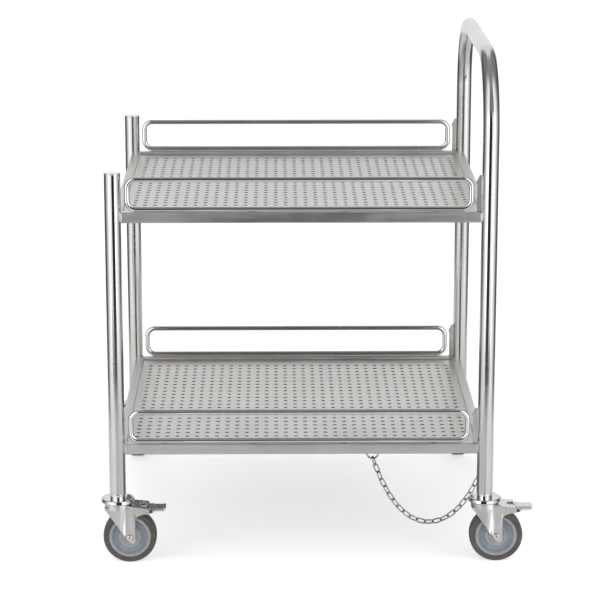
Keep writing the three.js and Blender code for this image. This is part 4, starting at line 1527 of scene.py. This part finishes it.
@dataclass
class EarthingChain:
    """The hanging chain with its ring and lug under the lower tray, and the hook plate on the tray's end."""

    finishes: Finishes
    pitch: float = 0.0157
    wire: float = 0.0014
    link_width: float = 0.012
    lap: float = 0.0008
    twist: float = 33.0
    first_twist: float = 20.0
    twist_step: float = 12.0
    slack: float = 1.656
    ring_radius: float = 0.0109
    ring_wire: float = 0.0018
    lug_hole: float = 0.0032

    def build(self) -> None:
        """Builds the chain and what holds it."""
        ring_low, ring_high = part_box("chain_ring")
        ring = loop_of_rod("chain_ring_wire", self.ring_radius, self.ring_radius, self.ring_radius, self.ring_wire, 48, 14)
        placed(ring, turn=(math.pi / 2, 0, 0))
        placed(ring, (ring_low + ring_high) / 2)
        dressed(smoothed(ring, 60), self.finishes.chain, "frame", ["chain_ring"])
        self._lug()
        self._hook()
        self._links()

    def _lug(self) -> None:
        """The flat lug with rounded lower corners."""
        low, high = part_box("chain_lug")
        lug = block("chain_lug_plate", low, high)
        corners = lambda at, way: abs(way.x) > 0.99 and at.z < low.z + 1e-5
        choose(lug, Pick.EDGES, corners)
        bpy.ops.mesh.bevel(offset=0.006, segments=8, affect="EDGES")
        to_object_mode()
        middle = (low + high) / 2
        hole = placed(rod("hole", self.lug_hole, -0.01, 0.01, Axis.ALONG_X), (middle.x, middle.y, low.z + 0.0077))
        combine(lug, [hole], "DIFFERENCE")
        rounded(lug, 0.0003)
        dressed(flat_shaded(lug), self.finishes.pressed, "frame", ["chain_lug"])

    def _hook(self) -> None:
        """The hook plate: a tapered flat plate on the tray's end wall, with a hole for the last link."""
        low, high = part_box("chain_hook")
        tray_low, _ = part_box("lower_tray")
        plate = block("chain_hook_plate", low, high)
        cut(plate, (high.x, 0, tray_low.z), (high.z - tray_low.z, 0, high.x - low.x))
        hole_x, hole_z = high.x - 0.0077, low.z + 0.0077
        cut(plate, (low.x, 0, tray_low.z), (-(tray_low.z - low.z), 0, -(hole_x - 0.0077 - low.x)))
        for x, way in ((high.x, 1), (hole_x - 0.0077, -1)):
            cut(plate, (x - way * 0.0045, 0, low.z), (way, 0, -1))
        hole = placed(rod("hole", self.lug_hole, -0.01, 0.01, Axis.ALONG_Y), (hole_x, (low.y + high.y) / 2, hole_z))
        combine(plate, [hole], "DIFFERENCE")
        rounded(plate, 0.0003)
        dressed(flat_shaded(plate), self.finishes.pressed, "frame", ["chain_hook"])

    def _joints(self, start: Vector, end_x: float) -> list[Vector]:
        """The places where link meets link, along a hanging curve.

        Args:
            start: the first joint, under the ring.
            end_x: where the last joint lies along the trolley.

        Returns:
            The joints from left to right.
        """
        span = end_x - start.x
        count = 2 * math.floor(span * self.slack / self.pitch / 2) + 1
        length = count * self.pitch
        low, high = span / 40, span * 10
        for _ in range(80):
            guess = (low + high) / 2
            too_long = guess * math.sinh(span / 2 / guess) > length / 2
            low, high = (guess, high) if too_long else (low, guess)
        joints = []
        for i in range(count + 1):
            along = (i - count / 2) * self.pitch
            x = guess * math.asinh(along / guess)
            joints.append(Vector((start.x + span / 2 + x, start.y, guess * math.cosh(x / guess))))
        lift = start.z - joints[0].z
        return [joint + Vector((0, 0, lift)) for joint in joints]

    def _links(self) -> None:
        """Strings the links, each turned a quarter round against the last, and all of them turned a little aside."""
        ring_low, ring_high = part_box("chain_ring")
        low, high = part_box("earthing_chain")
        ring = (ring_low + ring_high) / 2
        under = ring.z - self.ring_radius + self.ring_wire + GAP + self.lap / 2
        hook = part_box("lower_tray")[1].x + 0.012
        joints = self._joints(Vector((ring.x, ring.y, under)), hook)
        bend = self.link_width / 2 - self.wire
        half = (self.pitch - self.lap) / 2 + self.wire
        pattern = loop_of_rod("link", half, bend, bend, self.wire, 24, 10)
        links = []
        for i, (first, last) in enumerate(zip(joints, joints[1:])):
            way = last - first
            link = copied(pattern, "link")
            twist = min(self.twist, self.first_twist + i * self.twist_step, (len(joints) - 2 - i) * self.twist_step)
            placed(link, turn=(math.radians(twist + 90 * (i % 2)), 0, 0))
            placed(link, (first + last) / 2, turn=(0, -math.atan2(way.z, way.x), 0))
            links.append(link)
        bpy.data.objects.remove(pattern)
        chain = joined("earthing_chain_links", links)
        dressed(smoothed(chain, 60), self.finishes.chain, "frame", ["earthing_chain"])


# Studio


@dataclass
class Studio:
    """Pale floor, soft light panels with a dark gap between them for the polished tubes to mirror, and the camera."""

    camera_at: tuple[float, float, float] = (-0.0767, -4.6534, 1.5526)
    pitch: float = 13.71
    yaw: float = 0.6
    lens: float = 144.92
    paper_half_width: float = 1.3
    paper_front: float = -1.48
    paper_back: float = 1.77
    floor_half: float = 30.0
    glow_seen: float = 0.62
    glow_mirrored: float = 0.3
    shade_long: float = 0.40
    shade_wide: float = 0.36
    shade_middle: float = -0.029
    shade_level: float = 0.3
    shade_seen: float = 0.93
    front_edge: float = -0.46
    front_stops: Profile = ((0.0, 0.64), (0.25, 0.66), (0.36, 0.92), (0.44, 0.56), (0.68, 0.56), (0.80, 1.0))
    front_reach: float = 0.6
    front_level: float = 1.22
    high_gap: float = 0.26
    overhead: float = 0.34
    panel_gap: float = 0.6
    panel_y: float = -2.03
    panel_width: float = 1.7
    panel_height: float = 1.6
    panel_power: float = 11.0

    def build(self) -> None:
        """Builds floor, surround, lights and camera."""
        bpy.context.scene.view_settings.view_transform = "Standard"
        self._camera()
        self._floors()
        self._surround()
        self._panels()

    def _camera(self) -> None:
        """Sets the camera where the photograph was taken from."""
        bpy.ops.object.select_all(action="DESELECT")
        turn = (math.radians(90 - self.pitch), 0, math.radians(-self.yaw))
        bpy.ops.object.camera_add(location=self.camera_at, rotation=turn)
        camera = bpy.context.object
        camera.name = "photo_view"
        camera.data.lens = self.lens
        camera.data.sensor_width = 36
        camera.data.clip_end = 100
        bpy.context.scene.camera = camera

    def _floors(self) -> None:
        """Lays a pale paper under the trolley and a like floor around it that the steel doesn't mirror."""
        finish = self._floor_finish()
        wide, front, back = self.paper_half_width, self.paper_front, self.paper_back
        half = self.floor_half
        paper = self._flat("studio_paper", (-wide, front), (wide, back), 0)
        around = self._flat("studio_floor", (-half, -half), (half, half), -0.0005)
        around.visible_glossy = False
        for piece in (paper, around):
            piece.data.materials.append(finish)

    def _flat(self, name: str, low: tuple[float, float], high: tuple[float, float], height: float) -> bpy.types.Object:
        """A flat rectangle on the ground between two corners."""
        bpy.ops.object.select_all(action="DESELECT")
        bpy.ops.mesh.primitive_plane_add(size=1, location=(0, 0, 0))
        middle = ((low[0] + high[0]) / 2, (low[1] + high[1]) / 2, height)
        return placed(added(name), middle, scale=(high[0] - low[0], high[1] - low[1], 1))

    def _floor_finish(self) -> bpy.types.Material:
        """A bright matt white that glows a little, with a painted shadow under the trolley where the camera sees it,
        and painted shade under the trolley and painted bands of shade and light in front of it where the steel mirrors
        it.
        """
        material = bpy.data.materials.new("studio_floor")
        material.use_nodes = True
        shader = material.node_tree.nodes["Principled BSDF"]
        shader.inputs["Roughness"].default_value = 1.0
        shader.inputs["Specular IOR Level"].default_value = 0.0
        shader.inputs["Emission Color"].default_value = (1, 1, 1, 1)
        sheet = Sheet(material.node_tree, keep=True)
        seen = sheet.add("LightPath").outputs["Is Camera Ray"]
        coord = sheet.add("TexCoord")
        parts = sheet.add("SeparateXYZ", Vector=coord.outputs["Object"])
        length, depth = parts.outputs[0], sheet.math("SUBTRACT", parts.outputs[1], self.shade_middle)
        # mask of the painted shadow: a soft rectangle under the trolley
        along = sheet.spread(sheet.math("ABSOLUTE", length), self.shade_long - 0.08, self.shade_long, 1, 0)
        across = sheet.spread(sheet.math("ABSOLUTE", depth), self.shade_wide - 0.08, self.shade_wide, 1, 0)
        # painted bands of shade and light on the floor in front of the trolley, seen only in the steel's reflections
        aside = sheet.math("ABSOLUTE", sheet.math("SUBTRACT", length, self.shade_middle))
        mirrored_bands = sheet.ramp(sheet.math("DIVIDE", aside, self.front_reach), self.front_stops)
        mirrored_bands = sheet.math("MULTIPLY", mirrored_bands, self.front_level)
        front = sheet.spread(depth, self.front_edge - 0.06, self.front_edge, mirrored_bands, 1)
        shade = sheet.math("MULTIPLY", along, across)
        # painted shade under the trolley for the steel to mirror
        mirrored = sheet.math("MULTIPLY", sheet.spread(shade, 0, 1, 1.0, self.shade_level), front)
        # painted shadow under the trolley where the camera sees the floor
        direct = sheet.spread(shade, 0, 1, 1.0, self.shade_seen)
        lit = sheet.spread(seen, 0, 1, mirrored, direct)
        # the floor glows, more strongly for the camera than in reflections
        glow = sheet.spread(seen, 0, 1, self.glow_mirrored, self.glow_seen)
        sheet.feed(shader, "Emission Strength", sheet.math("MULTIPLY", glow, lit))
        sheet.feed(shader, "Base Color", sheet.mixed(lit, (0, 0, 0, 1), (0.9, 0.9, 0.9, 1)))
        return material

    def _surround(self) -> None:
        """A surround that is white behind the trolley and beside the camera, dark elsewhere and grey overhead."""
        world = bpy.data.worlds.new("studio_surround")
        bpy.context.scene.world = world
        world.use_nodes = True
        sheet = Sheet(world.node_tree)
        coord = sheet.add("TexCoord")
        parts = sheet.add("SeparateXYZ", Vector=coord.outputs["Generated"])
        x, y, z = (parts.outputs[i] for i in range(3))
        azimuth = sheet.math("ARCTAN2", x, sheet.math("MULTIPLY", y, -1.0))
        turn = sheet.math("DIVIDE", sheet.math("ABSOLUTE", azimuth), math.pi)
        stops = ((0.165, 0.02), (0.205, 1.0), (0.34, 1.0), (0.42, 0.72), (0.52, 0.32), (0.60, 0.09), (0.84, 0.09), (0.90, 0.75))
        low_band = sheet.math("MULTIPLY", sheet.ramp(turn, stops), 1.3)
        low_band = sheet.math("MAXIMUM", low_band, sheet.spread(z, 0.26, 0.50, 0, self.high_gap))
        above = sheet.spread(z, 0.80, 0.96)
        overhead = sheet.math("MULTIPLY", above, self.overhead)
        level = sheet.math("ADD", sheet.math("MULTIPLY", low_band, sheet.math("SUBTRACT", 1.0, above)), overhead)
        seen = sheet.add("LightPath").outputs["Is Camera Ray"]
        level = sheet.math("MAXIMUM", level, seen)
        background = sheet.add("Background", Color=(1, 1, 1, 1), Strength=level)
        output = sheet.add("OutputWorld")
        sheet.feed(output, "Surface", background.outputs[0])

    def _panels(self) -> None:
        """Stands a soft light panel on either side of the camera, with a gap between them."""
        for side, name in ((-1, "left_panel"), (1, "right_panel")):
            at = (side * (self.panel_gap + self.panel_width / 2), self.panel_y, self.panel_height / 2)
            bpy.ops.object.select_all(action="DESELECT")
            bpy.ops.object.light_add(type="AREA", location=at, rotation=(math.pi / 2, 0, 0))
            light = bpy.context.object
            light.name = name
            light.visible_camera = False
            light.data.shape = "RECTANGLE"
            light.data.size = self.panel_width
            light.data.size_y = self.panel_height
            light.data.energy = self.panel_power


def main() -> None:
    """Builds the studio, then every sub-assembly in order."""
    logging.basicConfig(level=logging.INFO, format="%(message)s")
    bpy.ops.object.select_all(action="DESELECT")
    Studio().build()
    finishes = Finishes.build()
    for assembly in (TubeFrame(finishes), Trays(finishes), Casters(finishes), EarthingChain(finishes)):
        assembly.build()
    bpy.ops.object.select_all(action="DESELECT")
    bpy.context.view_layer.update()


if __name__ == "__main__":
    main()
